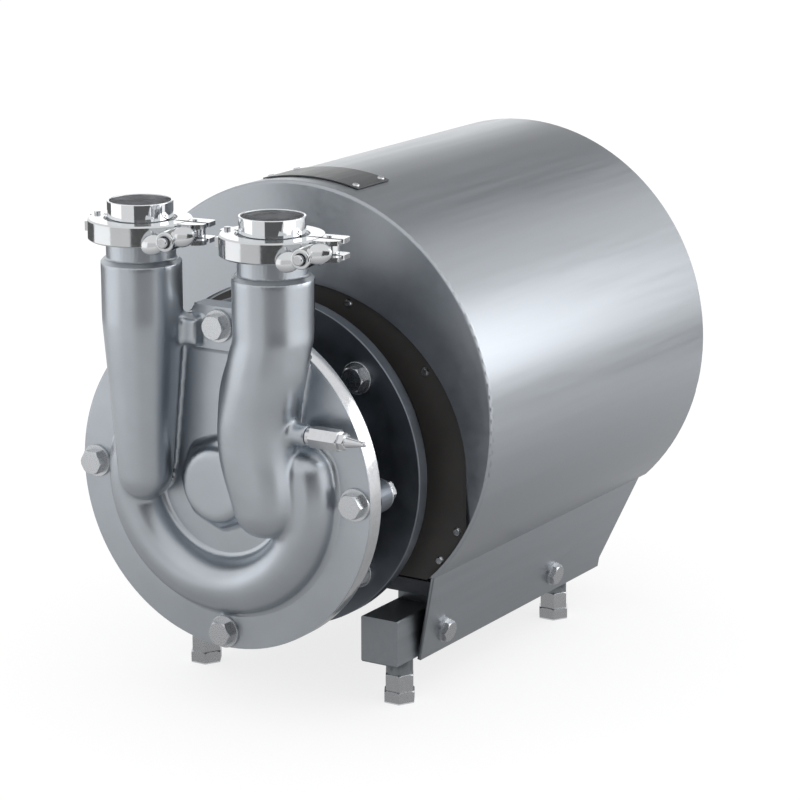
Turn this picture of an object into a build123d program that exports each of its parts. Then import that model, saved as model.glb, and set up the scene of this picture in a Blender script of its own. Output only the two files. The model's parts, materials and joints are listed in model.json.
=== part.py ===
import os
from math import asin, cos, radians, sin, sqrt, tan

from build123d import *

os.makedirs("parts", exist_ok=True)

# Self-priming side channel pump, close coupled to a foot-mounted motor that stands under
# a stainless shroud. X is to the right seen from the front, Y runs back along the shaft
# and Z is up from the floor. The origin is on the floor, in the middle of the outline.
# A depth is measured back from the cover's front face, a rise is measured up from the shaft.

# Clearances
face_gap = 0.3
slide_fit = 0.05
bolt_play = 0.3

# Shaft height above the floor
axis_height = 194.0

# Front cover
cover_radius = 135.0
cover_thickness = 16.0
cover_bolt_radius = 122.0
ear_bolt_rise = 125.0
ear_width = 50.0
ear_top = 140.0
ear_pad = 3.0
ear_pad_bottom = 106.0
boss_radius = 29.5
boss_reach = 16.0
collar_flats = 68.0
collar_reach = 8.0
nut_pocket_radius = 19.0
pocket_wall = 6.0

# Side channel, a half ring raised on the cover and hollow behind
channel_radius = 83.0
channel_bulge = 22.0
channel_wall = 5.0
channel_start = 172.0
channel_end = 373.0

# Ports, two upright tubes in front of the cover
port_spread = 61.0
port_forward = 18.5
port_bore_radius = 23.9
tube_radius = 31.4
tube_straight_from = 126.0
shoulder_rise = 175.0
shoulder_bevel = 2.4
neck_radius = 27.0
cast_wall = 6.5
left_end_radius = 21.5
left_end_rise = 3.0
right_end_radius = 24.5
right_end_rise = -8.0
right_end_shift = 9.0
right_waist_rise = 50.0
right_waist_shift = 14.0
right_waist_radius = 30.3
right_hip_rise = 15.0
right_hip_shift = 11.0
right_hip_radius = 26.6
passage_radius = 13.0
web_rise = 119.0
web_height = 22.0
web_forward = 13.0
web_length = 31.0

# Ferrules, 51 mm tube with 64 mm clamp flanges
flange_radius = 32.0
flange_rim = 2.85
flange_slope = 20.0
stub_radius = 25.5
ferrule_length = 21.0
gasket_thickness = 2.0
joint_rise = 198.0

# Clamps, measured in each clamp's own turned frame
clamp_turn = 8.0
clamp_radius = 40.6
clamp_height = 16.5
clamp_bore_radius = 28.4
clamp_gap = 3.0
clamp_bevel = 1.2
hinge_pin_radius = 2.5
hinge_knuckle_radius = 5.4
hinge_knuckle_height = 7.6
hinge_arm = 37.6
pin_overhang = 2.0
bolt_arm = 44.0
pivot_back = 7.0
pivot_pin_radius = 2.5
eye_radius = 7.5
eye_thickness = 8.2
eye_bolt_radius = 4.0
eye_bolt_length = 56.0
eye_bolt_chamfer = 0.8
nut_seat_radius = 20.0
lug_reach = 58.0
lug_back = 15.0
lug_height = 16.0
slot_height = 8.8
nut_collar_radius = 6.0
nut_collar_length = 9.0
nut_hub_radius = 7.8
nut_hub_length = 23.0
wing_seat = 23.0
wing_reach = 24.0
wing_lobe_radius = 8.0
wing_root_radius = 5.5
wing_thickness = 5.0
wing_tilt = 17.0

# Bleed valve on the right port tube
valve_rise = 54.0
valve_boss_radius = 9.0
valve_seat_x = 93.0
valve_shank_radius = 5.0
valve_shank_length = 10.0
valve_flats = 15.0
valve_length = 28.0
valve_neck_length = 3.0
valve_bore_radius = 2.0
bleed_stem_radius = 2.5
bleed_stem_length = 16.0
bleed_flats = 12.0
bleed_nut_height = 5.5
nipple_length = 17.0
nipple_base_radius = 4.4
nipple_tip_radius = 2.2

# Rear casing behind the cover
casing_flange_radius = 116.0
casing_flange_thickness = 16.0
casing_lug_radius = 13.5
casing_bowl_radius = 108.0
casing_depth = 29.0
casing_back_wall = 14.0
chamber_radius = 104.5
seal_bore_radius = 24.0
o_ring_radius = 109.0
o_ring_section = 1.8
casing_screw_radius = 62.0
casing_screw_size = 4.0
casing_screw_head_radius = 6.5

# Impeller
impeller_radius = 103.0
impeller_width = 14.0
impeller_gap = 0.5
impeller_hub_radius = 36.0
impeller_web_thickness = 4.0
impeller_web_radius = 62.0
vane_count = 20
vane_thickness = 5.0
relief_hole_radius = 5.0
relief_circle_radius = 26.0
impeller_seat_radius = 12.0
key_width = 8.0
key_height = 7.0
key_length = 11.0
impeller_nut_flats = 24.0
impeller_nut_height = 12.0
thread_radius = 8.0
thread_overhang = 3.0

# Mechanical seal
seal_shaft_radius = 14.0
seal_hub_radius = 34.0
seal_hub_back = 60.0
seal_lip = 3.0
seal_seat_length = 7.0
seal_seat_radius = 20.0
seal_seat_bore = 16.0
seal_ring_radius = 21.0
seal_film = 0.05

# Lantern between casing and motor
lantern_front_radius = 88.0
lantern_front_thickness = 10.0
lantern_front_bore = 50.0
lantern_neck_radius = 84.0
lantern_neck_bore = 74.0
lantern_length = 39.0
lantern_flange_radius = 135.0
lantern_flange_thickness = 12.0
lantern_bolt_circle = 111.0
window_width = 60.0

# Hex fasteners
cover_bolt_size = 6.0
cover_bolt_flats = 18.0
cover_bolt_head = 7.5
washer_radius = 13.0
washer_thickness = 2.5
cover_nut_height = 9.5
small_bolt_size = 5.0
small_bolt_flats = 16.0
small_bolt_head = 6.4
small_collar_radius = 10.0
collar_thickness = 1.5
head_bevel = 1.2

# Motor, 112 mm shaft height
motor_axis_to_feet = 112.0
motor_flange_radius = 125.0
motor_flange_thickness = 11.0
shield_radius = 104.0
shield_length = 24.0
frame_radius = 100.0
frame_bore = 92.0
frame_length = 242.0
rib_radius = 111.0
rib_thickness = 3.0
rib_count = 8
foot_hole_spread = 190.0
foot_hole_from_flange = 70.0
foot_hole_pitch = 140.0
motor_foot_length = 40.0
motor_foot_thickness = 12.0
motor_foot_outside = 12.0
motor_foot_inside = 62.0
foot_leg = 14.0
bearing_radius = 31.0
bearing_bore = 15.0
bearing_width = 16.0
bearing_wall = 6.0
bearing_race = 4.0
bearing_hub_radius = 38.0
shield_hole_radius = 18.0
shield_wall = 8.0
spigot_length = 6.0
core_radius = 60.0
air_gap = 0.5
core_start = 66.0
core_length = 150.0
core_seat_radius = 20.0
coil_radius = 84.0
coil_bore = 66.0
coil_overhang = 22.0
rear_shield_length = 14.0
fan_radius = 94.0
fan_hub_radius = 24.0
fan_width = 18.0
fan_offset = 8.0
fan_blade_count = 8
fan_blade_thickness = 3.0
fan_blade_end = 90.0
fan_seat_radius = 12.5
cowl_wall = 1.6
cowl_length = 66.0
cowl_lap = 10.0
box_width = 96.0
box_length = 92.0
box_height = 46.0
box_wall = 4.0
box_depth = 185.0
box_seat_rise = 114.0
box_seat_width = 76.0
box_seat_length = 80.0
wire_hole_radius = 12.0
lid_thickness = 5.0
gland_radius = 13.0
gland_step = 3.0
gland_length = 26.0
gland_bore_radius = 7.0

# Shroud
shroud_front = 106.0
shroud_length = 368.0
shroud_radius = 180.0
shroud_rise = 41.0
sheet = 3.0
sheet_bend = 2.6
seam_inset = 0.4
seam_lap = 1.5
opening_side_rim = 23.0
opening_top_rim = 80.0
crease_x = 127.0
skirt_lean = 10.3
skirt_below_rail = 1.56
skirt_rear_bottom = 408.0
skirt_rear_step = 8.0
skirt_rear_top = 460.0
rear_opening_radius = 106.0
grille_radius = 120.0
grille_thickness = 1.5
grille_slot_width = 9.0
grille_slot_pitch = 18.0
grille_slot_reach = 98.0
grille_middle_web = 12.0
grille_rows = 4
grille_screw_circle = 113.0
grille_screw_radius = 2.5
grille_screw_head = 2.4

# Baffle inside the front opening
baffle_depth = 5.0
baffle_thickness = 2.0
baffle_bore = 117.0
baffle_ring_thickness = 3.0
baffle_ring_bore = 124.0
baffle_below_crease = 3.44
baffle_inset = 2.0
baffle_edge_gap = 0.8
baffle_screw_radius = 2.0
baffle_screw_head_radius = 3.6
baffle_screw_head = 1.8
# In from the opening's side, then down from its top or up from the baffle's straight bottom
upper_baffle_screws = [(112.0, 14.0), (41.0, 61.0)]
lower_baffle_screws = [(11.0, 44.0), (27.0, 18.0)]

# Name plate on the top of the shroud
plate_width = 90.0
plate_length = 47.0
plate_from_front = 19.0
plate_thickness = 1.0
rivet_radius = 1.5
rivet_head_radius = 3.0
rivet_head_height = 1.2
rivet_inset = 5.0

# Rails, foot bushes and adjustable feet
rail_width = 34.0
rail_height = 38.0
rail_wall = 4.0
rail_corner = 1.0
rail_thread = 14.0
thread_pad_radius = 10.0
rail_front = 79.0
shim_thickness = 6.0
shim_width = 30.0
foot_spread = 95.0
front_foot_depth = 107.0
rear_foot_depth = 362.0
bush_radius = 11.0
bush_length = 14.0
lock_nut_flats = 22.0
lock_nut_height = 14.0
foot_head_flats = 24.0
foot_head_height = 10.0
stem_radius = 8.0
stem_length = 52.0
skirt_bolt_above_rail = 16.0
front_skirt_bolt_depth = 141.0
rear_skirt_bolt_depth = 320.0
spacer_radius = 9.0
skirt_bolt_length = 14.0

# Places worked out from the sizes above
turn = radians(clamp_turn)
pivot_forward = port_forward - bolt_arm * sin(turn) - pivot_back * cos(turn)
bolt_nose_radius = eye_bolt_radius - eye_bolt_chamfer
front_reach = pivot_forward + eye_bolt_length * cos(turn) + bolt_nose_radius * sin(turn)
shroud_back = shroud_front + shroud_length
rear_reach = shroud_back + grille_thickness + grille_screw_head
cover_y = (front_reach - rear_reach) / 2

casing_back = cover_thickness + casing_depth
lantern_flange_back = casing_back + lantern_length
lantern_flange_front = lantern_flange_back - lantern_flange_thickness
motor_face = lantern_flange_back
frame_front = motor_face + shield_length
frame_back = frame_front + frame_length
rear_shield_back = frame_back + rear_shield_length
impeller_front = cover_thickness + impeller_gap
impeller_back = impeller_front + impeller_width
seal_seat_front = seal_hub_back - seal_lip - seal_seat_length
opening_half_width = shroud_radius - opening_side_rim
opening_rise = shroud_rise + shroud_radius - opening_top_rim
crease_rise = shroud_rise - sqrt(shroud_radius**2 - crease_x**2)
lean = radians(skirt_lean)
rail_top = -motor_axis_to_feet - shim_thickness
rail_bottom = rail_top - rail_height
skirt_bolt_rise = rail_bottom + skirt_bolt_above_rail
skirt_bottom = rail_bottom - skirt_below_rail
skirt_drop = crease_rise - skirt_bottom
skirt_bottom_x = crease_x - seam_inset - skirt_drop * tan(lean)
rail_outer = skirt_bottom_x - sheet / cos(lean) - face_gap
baffle_bottom = crease_rise - baffle_below_crease
baffle_screw_places = [(opening_half_width - inwards, opening_rise - down)
                       for inwards, down in upper_baffle_screws]
baffle_screw_places += [(opening_half_width - inwards, baffle_bottom + up)
                        for inwards, up in lower_baffle_screws]
rail_back = skirt_rear_bottom
rail_centre = rail_outer - rail_width / 2
front_bearing_front = motor_face + bearing_wall
rear_bearing_back = rear_shield_back - bearing_wall
fan_front = rear_shield_back + fan_offset
cowl_front = rear_shield_back - cowl_lap
cowl_back = cowl_front + cowl_length
channel_bore = channel_bulge - channel_wall
valve_face_x = valve_seat_x + valve_length


shaft_axis = Axis((0, cover_y, axis_height), (0, 1, 0))
front_axis = Axis((0, cover_y, axis_height), (0, -1, 0))
along_shaft = Plane(origin=(0, cover_y, axis_height), x_dir=(0, 1, 0), z_dir=(1, 0, 0))


def face_on(depth):
    """Plane across the shaft at a depth, seen from the front: x right, y is the rise."""
    return Plane(origin=(0, cover_y + depth, axis_height), x_dir=(1, 0, 0), z_dir=(0, -1, 0))


def face_back(depth):
    """Plane across the shaft at a depth that looks to the rear: x is to the left."""
    return Plane(origin=(0, cover_y + depth, axis_height), x_dir=(-1, 0, 0), z_dir=(0, 1, 0))


def level(rise):
    """Plane parallel to the floor at a rise: x right, y is the depth."""
    return Plane(origin=(0, cover_y, axis_height + rise))


def spot(plane, x, y):
    """The same plane with its origin moved to a point on it."""
    return Plane(origin=plane.from_local_coords(Vector(x, y, 0)), x_dir=plane.x_dir,
                 z_dir=plane.z_dir)


def port_plane(side):
    """Upright plane through a port's axis: x is the radius, y is the rise."""
    place = (side * port_spread, cover_y - port_forward, axis_height)
    return Plane(origin=place, x_dir=(1, 0, 0), z_dir=(0, -1, 0))


def port_level(side, rise, shift=0.0):
    """Level plane centred on a port tube, or moved inwards by a shift."""
    place = (side * (port_spread - shift), cover_y - port_forward, axis_height + rise)
    return Plane(origin=place)


def port_axis(side):
    return Axis((side * port_spread, cover_y - port_forward, axis_height), (0, 0, 1))


def valve_plane(x):
    """Plane across the bleed valve at a place along X."""
    return Plane(origin=(x, cover_y - port_forward, axis_height + valve_rise), x_dir=(0, 1, 0),
                 z_dir=(1, 0, 0))


def clamp_level(side, rise=0.0):
    """Level plane in a clamp's own turned frame: x towards the lugs, y back."""
    place = (side * port_spread, cover_y - port_forward, axis_height + joint_rise + rise)
    return Plane(origin=place, x_dir=(cos(turn), sin(turn), 0), z_dir=(0, 0, 1))


def turned(*outline):
    """A piece turned about the shaft from its outline of depths and radii."""
    with BuildPart() as piece:
        with BuildSketch(along_shaft):
            with BuildLine():
                Polyline(*outline, close=True)
            make_face()
        revolve(axis=shaft_axis)
    return piece.part


def hex_prism(seat, flats, height, bore=0.0):
    """A hexagon standing on a plane, its outer corners taken off by a cone."""
    with BuildPart() as prism:
        with BuildSketch(seat):
            RegularPolygon(flats / 2, 6, major_radius=False)
        extrude(amount=height)
        with BuildSketch(seat):
            Circle(flats / sqrt(3) + height - head_bevel)
        extrude(amount=height, taper=45, mode=Mode.INTERSECT)
        if bore:
            with BuildSketch(seat):
                Circle(bore)
            extrude(amount=height, mode=Mode.SUBTRACT)
    return prism.part


def hex_bolt(seat, flats, head, radius, length, collar=0.0):
    """A hex bolt whose head sits on a plane, with a flange under the head if asked."""
    with BuildPart() as bolt:
        add(hex_prism(seat, flats, head))
        with BuildSketch(seat):
            Circle(radius)
        extrude(amount=-length)
        if collar:
            with BuildSketch(seat):
                Circle(collar)
            extrude(amount=collar_thickness)
    return bolt.part


def ring(seat, outer, inner, height):
    """A flat ring standing on a plane."""
    with BuildPart() as piece:
        with BuildSketch(seat):
            Circle(outer)
            Circle(inner, mode=Mode.SUBTRACT)
        extrude(amount=height)
    return piece.part


cover_bolt_places = [
    (-cover_bolt_radius, 0.0),
    (0.0, -cover_bolt_radius),
    (cover_bolt_radius, 0.0),
    (0.0, ear_bolt_rise),
]
cover_bolt_seats = [0.0, 0.0, 0.0, -ear_pad]
lantern_bolt_step = lantern_bolt_circle * cos(radians(45))
lantern_bolt_places = [(sx * lantern_bolt_step, sz * lantern_bolt_step)
                       for sx in (-1, 1) for sz in (-1, 1)]
port_ends = [(-port_spread, left_end_rise), (port_spread - right_end_shift, right_end_rise)]


# Front cover: one casting with the channel, the centre boss, the ear and both port tubes

def channel_ring(radius, depth):
    """Half round in front of the cover with straight sides to a depth, swept round."""
    start = radians(channel_start)
    start_plane = Plane(origin=(0, cover_y, axis_height), x_dir=(cos(start), 0, sin(start)),
                        z_dir=(-sin(start), 0, cos(start)))
    with BuildPart() as groove:
        with BuildSketch(start_plane):
            with Locations((channel_radius, 0)):
                Circle(radius)
            with Locations((channel_radius, radius)):
                Rectangle(2 * radius, 2 * radius, mode=Mode.SUBTRACT)
            with Locations((channel_radius, depth / 2)):
                Rectangle(2 * radius, depth)
        revolve(axis=front_axis, revolution_arc=channel_end - channel_start)
        for angle in (channel_start, channel_end):
            a = radians(angle)
            end = spot(face_on(0), channel_radius * cos(a), channel_radius * sin(a))
            with BuildSketch(end):
                Circle(radius)
            extrude(amount=-depth)
            with Locations(end):
                Sphere(radius)
        with BuildSketch(face_on(depth)):
            Circle(2 * cover_radius)
        extrude(amount=-2 * radius, mode=Mode.SUBTRACT)
    return groove.part


def flange_outline(direction, inner, back):
    """Clamp flange outline from the gasket face towards the tube, as radius and rise."""
    face = joint_rise + direction * gasket_thickness / 2
    slope_end = flange_rim + (flange_radius - inner) * tan(radians(flange_slope))
    return [
        (port_bore_radius, face),
        (flange_radius, face),
        (flange_radius, face + direction * flange_rim),
        (inner, face + direction * slope_end),
        (inner, back),
        (port_bore_radius, back),
    ]


def port_neck(side):
    """Clamp flange, neck and shoulder of a port, down into the straight tube."""
    with BuildPart() as neck:
        with BuildSketch(port_level(side, tube_straight_from)):
            Circle(tube_radius)
        extrude(amount=shoulder_rise - tube_straight_from)
        chamfer(neck.faces().sort_by(Axis.Z)[-1].edges(), shoulder_bevel)
        with BuildSketch(port_plane(side)):
            with BuildLine():
                Polyline(*flange_outline(-1, neck_radius, shoulder_rise - shoulder_bevel),
                         close=True)
            make_face()
        revolve(axis=port_axis(side))
    return neck.part


def left_tube(wall):
    """Left tube below the straight part: a cone with a round end, less a wall."""
    end = left_end_radius - wall
    top = tube_radius - wall
    with BuildPart() as tube:
        with BuildSketch(port_plane(-1)):
            with BuildLine():
                Polyline((0, left_end_rise - end), (0, tube_straight_from),
                         (top, tube_straight_from), (end, left_end_rise))
                CenterArc((0, left_end_rise), end, 0, -90)
            make_face()
        revolve(axis=port_axis(-1))
    return tube.part


def right_tube(wall):
    """Right tube below the straight part, leaning in to its waist, less a wall."""
    stations = [
        (tube_straight_from, 0.0, tube_radius),
        (right_waist_rise, right_waist_shift, right_waist_radius),
        (right_hip_rise, right_hip_shift, right_hip_radius),
        (right_end_rise, right_end_shift, right_end_radius),
    ]
    with BuildPart() as tube:
        for rise, shift, radius in stations:
            with BuildSketch(port_level(1, rise, shift)):
                Circle(radius - wall)
        loft()
        with Locations(port_level(1, right_end_rise, right_end_shift)):
            Sphere(right_end_radius - wall)
    return tube.part


with BuildPart() as front_cover:
    with BuildSketch(face_on(0)):
        Circle(cover_radius)
        with Locations((0, ear_top / 2)):
            Rectangle(ear_width, ear_top)
    extrude(amount=-cover_thickness)
    with BuildSketch(face_on(0)):
        with Locations((0, (ear_top + ear_pad_bottom) / 2)):
            RectangleRounded(ear_width, ear_top - ear_pad_bottom, 5)
    extrude(amount=ear_pad)
    with BuildSketch(face_on(0)):
        RegularPolygon(collar_flats / 2, 8, major_radius=False)
    extrude(amount=collar_reach)
    with BuildSketch(face_on(0)):
        Circle(boss_radius)
    extrude(amount=boss_reach)
    add(channel_ring(channel_bulge, cover_thickness / 2))
    add(left_tube(0))
    add(right_tube(0))
    add(port_neck(-1))
    add(port_neck(1))
    with BuildSketch(face_on(0)):
        with Locations((-port_spread / 2, web_rise)):
            Rectangle(web_length, web_height)
    extrude(amount=web_forward)
    with BuildSketch(valve_plane(valve_seat_x)):
        Circle(valve_boss_radius)
    extrude(amount=-(valve_seat_x - port_spread + right_waist_shift))
    with BuildSketch(face_on(cover_thickness)):
        Circle(2 * cover_radius)
    extrude(amount=-2 * tube_radius, mode=Mode.SUBTRACT)
    add(channel_ring(channel_bore, cover_thickness), mode=Mode.SUBTRACT)
    add(left_tube(cast_wall), mode=Mode.SUBTRACT)
    add(right_tube(cast_wall), mode=Mode.SUBTRACT)
    for side in (-1, 1):
        with BuildSketch(port_level(side, joint_rise)):
            Circle(port_bore_radius)
        extrude(amount=tube_straight_from - joint_rise - 1, mode=Mode.SUBTRACT)
    with BuildSketch(face_on(-port_forward)):
        with Locations(*port_ends):
            Circle(passage_radius)
    extrude(amount=-(port_forward + cover_thickness), mode=Mode.SUBTRACT)
    with BuildSketch(face_on(cover_thickness)):
        Circle(nut_pocket_radius)
    extrude(amount=cover_thickness + boss_reach - pocket_wall, mode=Mode.SUBTRACT)
    with BuildSketch(face_on(-ear_pad)):
        with Locations(*cover_bolt_places):
            Circle(cover_bolt_size + bolt_play)
    extrude(amount=-(cover_thickness + ear_pad), mode=Mode.SUBTRACT)
    with BuildSketch(valve_plane(valve_seat_x)):
        Circle(valve_shank_radius + slide_fit)
    extrude(amount=-(valve_shank_length + 1), mode=Mode.SUBTRACT)
    with BuildSketch(valve_plane(valve_seat_x)):
        Circle(bleed_stem_radius)
    extrude(amount=-(valve_seat_x - port_spread + right_waist_shift), mode=Mode.SUBTRACT)
front_cover.part.label = "front_cover"
export_step(front_cover.part, "parts/front_cover.step")


# Rear casing: bowl around the impeller with lugs for the cover bolts and a seal housing

with BuildPart() as rear_casing:
    with BuildSketch(face_on(cover_thickness)):
        Circle(casing_flange_radius)
        with Locations(*cover_bolt_places):
            Circle(casing_lug_radius)
    extrude(amount=-casing_flange_thickness)
    with BuildSketch(face_on(cover_thickness)):
        Circle(casing_bowl_radius)
    extrude(amount=-casing_depth)
    with BuildSketch(face_on(casing_back)):
        Circle(seal_hub_radius)
    extrude(amount=-(seal_hub_back - casing_back))
    with BuildSketch(face_on(cover_thickness)):
        Circle(chamber_radius)
    extrude(amount=-(casing_depth - casing_back_wall), mode=Mode.SUBTRACT)
    with BuildSketch(face_on(cover_thickness)):
        Circle(seal_bore_radius)
    extrude(amount=-(seal_seat_front - cover_thickness), mode=Mode.SUBTRACT)
    with BuildSketch(face_on(cover_thickness)):
        Circle(seal_seat_radius + slide_fit)
    extrude(amount=-(seal_hub_back - seal_lip - cover_thickness), mode=Mode.SUBTRACT)
    with BuildSketch(face_on(cover_thickness)):
        Circle(seal_seat_bore)
    extrude(amount=-(seal_hub_back - cover_thickness), mode=Mode.SUBTRACT)
    with BuildSketch(face_on(cover_thickness)):
        Circle(o_ring_radius + o_ring_section + face_gap)
        Circle(o_ring_radius - o_ring_section - face_gap, mode=Mode.SUBTRACT)
    extrude(amount=-(2 * o_ring_section + face_gap), mode=Mode.SUBTRACT)
    with BuildSketch(face_on(cover_thickness)):
        with Locations(*cover_bolt_places):
            Circle(cover_bolt_size + bolt_play)
    extrude(amount=-casing_flange_thickness, mode=Mode.SUBTRACT)
    with BuildSketch(face_on(casing_back)):
        with PolarLocations(casing_screw_radius, 4, start_angle=45):
            Circle(casing_screw_size + slide_fit)
    extrude(amount=casing_back_wall - 3, mode=Mode.SUBTRACT)
rear_casing.part.label = "rear_casing"
export_step(rear_casing.part, "parts/rear_casing.step")

with BuildPart() as casing_o_ring:
    with BuildSketch(along_shaft):
        with Locations((cover_thickness + o_ring_section + face_gap / 2, o_ring_radius)):
            Circle(o_ring_section)
    revolve(axis=shaft_axis)
casing_o_ring.part.label = "casing_o_ring"
export_step(casing_o_ring.part, "parts/casing_o_ring.step")

cover_nut_seat = cover_thickness + casing_flange_thickness + washer_thickness

with BuildPart() as cover_bolts:
    for (x, rise), seat in zip(cover_bolt_places, cover_bolt_seats):
        grip = cover_nut_seat + washer_thickness - seat
        add(hex_bolt(spot(face_on(seat - washer_thickness), x, rise), cover_bolt_flats,
                     cover_bolt_head, cover_bolt_size, grip + cover_nut_height + head_bevel))
cover_bolts.part.label = "cover_bolts"
export_step(cover_bolts.part, "parts/cover_bolts.step")

with BuildPart() as bolt_washers:
    for (x, rise), seat in zip(cover_bolt_places, cover_bolt_seats):
        for depth in (seat, cover_nut_seat):
            add(ring(spot(face_on(depth), x, rise), washer_radius,
                     cover_bolt_size + bolt_play, washer_thickness))
    for x, rise in lantern_bolt_places:
        add(ring(spot(face_on(lantern_flange_front), x, rise), washer_radius,
                 cover_bolt_size + bolt_play, washer_thickness))
bolt_washers.part.label = "bolt_washers"
export_step(bolt_washers.part, "parts/bolt_washers.step")

with BuildPart() as cover_nuts:
    for x, rise in cover_bolt_places:
        add(hex_prism(spot(face_back(cover_nut_seat), -x, rise), cover_bolt_flats,
                      cover_nut_height, bore=cover_bolt_size + slide_fit))
cover_nuts.part.label = "cover_nuts"
export_step(cover_nuts.part, "parts/cover_nuts.step")


# Lantern: carries the casing on the motor's flange, with windows that drain the seal

lantern_inside = casing_back + lantern_front_thickness

with BuildPart() as lantern:
    with BuildSketch(face_on(casing_back)):
        Circle(lantern_front_radius)
    extrude(amount=-lantern_front_thickness)
    with BuildSketch(face_on(casing_back)):
        Circle(lantern_neck_radius)
    extrude(amount=-lantern_length)
    with BuildSketch(face_on(lantern_flange_front)):
        Circle(lantern_flange_radius)
    extrude(amount=-lantern_flange_thickness)
    with BuildSketch(face_on(casing_back)):
        Circle(lantern_front_bore)
    extrude(amount=-lantern_front_thickness, mode=Mode.SUBTRACT)
    with BuildSketch(face_on(lantern_inside)):
        Circle(lantern_neck_bore)
    extrude(amount=-lantern_length, mode=Mode.SUBTRACT)
    with BuildSketch(face_on(lantern_inside)):
        Rectangle(2 * lantern_neck_radius + 2, window_width)
    extrude(amount=-(lantern_flange_front - lantern_inside), mode=Mode.SUBTRACT)
    with BuildSketch(face_on(casing_back)):
        with PolarLocations(casing_screw_radius, 4, start_angle=45):
            Circle(casing_screw_size + bolt_play)
    extrude(amount=-lantern_front_thickness, mode=Mode.SUBTRACT)
    with BuildSketch(face_on(lantern_flange_front)):
        with Locations(*lantern_bolt_places):
            Circle(cover_bolt_size + bolt_play)
    extrude(amount=-lantern_flange_thickness, mode=Mode.SUBTRACT)
lantern.part.label = "lantern"
export_step(lantern.part, "parts/lantern.step")

with BuildPart() as casing_screws:
    with BuildSketch(face_on(lantern_inside)):
        with PolarLocations(casing_screw_radius, 4, start_angle=45):
            Circle(casing_screw_size)
    extrude(amount=lantern_front_thickness + casing_back_wall - 5)
    with BuildSketch(face_on(lantern_inside)):
        with PolarLocations(casing_screw_radius, 4, start_angle=45):
            Circle(casing_screw_head_radius)
            RegularPolygon(casing_screw_size * 0.8, 6, major_radius=False, mode=Mode.SUBTRACT)
    extrude(amount=-2 * casing_screw_size)
    with BuildSketch(face_on(lantern_inside)):
        with PolarLocations(casing_screw_radius, 4, start_angle=45):
            Circle(casing_screw_head_radius)
    extrude(amount=-casing_screw_size)
casing_screws.part.label = "casing_screws"
export_step(casing_screws.part, "parts/casing_screws.step")

with BuildPart() as lantern_bolts:
    for x, rise in lantern_bolt_places:
        add(hex_bolt(spot(face_on(lantern_flange_front - washer_thickness), x, rise),
                     cover_bolt_flats, cover_bolt_head, cover_bolt_size,
                     washer_thickness + lantern_flange_thickness + motor_flange_thickness))
lantern_bolts.part.label = "lantern_bolts"
export_step(lantern_bolts.part, "parts/lantern_bolts.step")


# Shaft seal: a fixed seat in the casing and a spring-loaded ring on the shaft

with BuildPart() as seal_seat:
    add(ring(face_on(seal_seat_front + seal_seat_length), seal_seat_radius, seal_seat_bore,
             seal_seat_length))
seal_seat.part.label = "seal_seat"
export_step(seal_seat.part, "parts/seal_seat.step")

seal_front = impeller_back
seal_back = seal_seat_front - seal_film
seal_grip = seal_shaft_radius + slide_fit

with BuildPart() as seal_rotary:
    add(turned((seal_front, seal_grip), (seal_front, seal_ring_radius),
               (seal_front + 4, seal_ring_radius), (seal_front + 4, seal_ring_radius - 3),
               (seal_back - 8, seal_ring_radius - 3), (seal_back - 8, seal_ring_radius),
               (seal_back - 2, seal_ring_radius), (seal_back - 2, seal_ring_radius - 2),
               (seal_back, seal_ring_radius - 2), (seal_back, seal_grip)))
seal_rotary.part.label = "seal_rotary"
export_step(seal_rotary.part, "parts/seal_rotary.step")


# Rotor: star impeller with its key and nut on the motor's stepped shaft

key_bottom = impeller_seat_radius - key_height / 2 - 0.5
key_front = impeller_front + (impeller_width - key_length) / 2

with BuildPart() as impeller:
    with BuildSketch(face_on(impeller_back)):
        Circle(impeller_hub_radius)
        with PolarLocations(impeller_hub_radius / 2 + impeller_radius / 2, vane_count):
            Rectangle(impeller_radius - impeller_hub_radius + 4, vane_thickness)
    extrude(amount=impeller_width)
    with BuildSketch(face_on(impeller_back - (impeller_width - impeller_web_thickness) / 2)):
        Circle(impeller_web_radius)
    extrude(amount=impeller_web_thickness)
    with BuildSketch(face_on(impeller_back)):
        Circle(impeller_radius)
    extrude(amount=impeller_width, mode=Mode.INTERSECT)
    with BuildSketch(face_on(impeller_back)):
        Circle(impeller_seat_radius + slide_fit)
        with Locations((0, key_bottom + key_height / 2)):
            Rectangle(key_width + 2 * slide_fit, key_height + 2 * slide_fit)
        with PolarLocations(relief_circle_radius, 4, start_angle=45):
            Circle(relief_hole_radius)
    extrude(amount=impeller_width, mode=Mode.SUBTRACT)
impeller.part.label = "impeller"
export_step(impeller.part, "parts/impeller.step")

with BuildPart() as impeller_key:
    with BuildSketch(face_on(key_front + key_length)):
        with Locations((0, key_bottom + key_height / 2)):
            Rectangle(key_width, key_height)
    extrude(amount=key_length)
impeller_key.part.label = "impeller_key"
export_step(impeller_key.part, "parts/impeller_key.step")

with BuildPart() as impeller_nut:
    add(hex_prism(face_on(impeller_front), impeller_nut_flats, impeller_nut_height,
                  bore=thread_radius + slide_fit))
impeller_nut.part.label = "impeller_nut"
export_step(impeller_nut.part, "parts/impeller_nut.step")

shaft_front = impeller_front - impeller_nut_height - thread_overhang
bearing_journal = bearing_bore - slide_fit
front_bearing_back = front_bearing_front + bearing_width
rear_bearing_front = rear_bearing_back - bearing_width
core_front = motor_face + core_start
core_back = core_front + core_length

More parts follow.
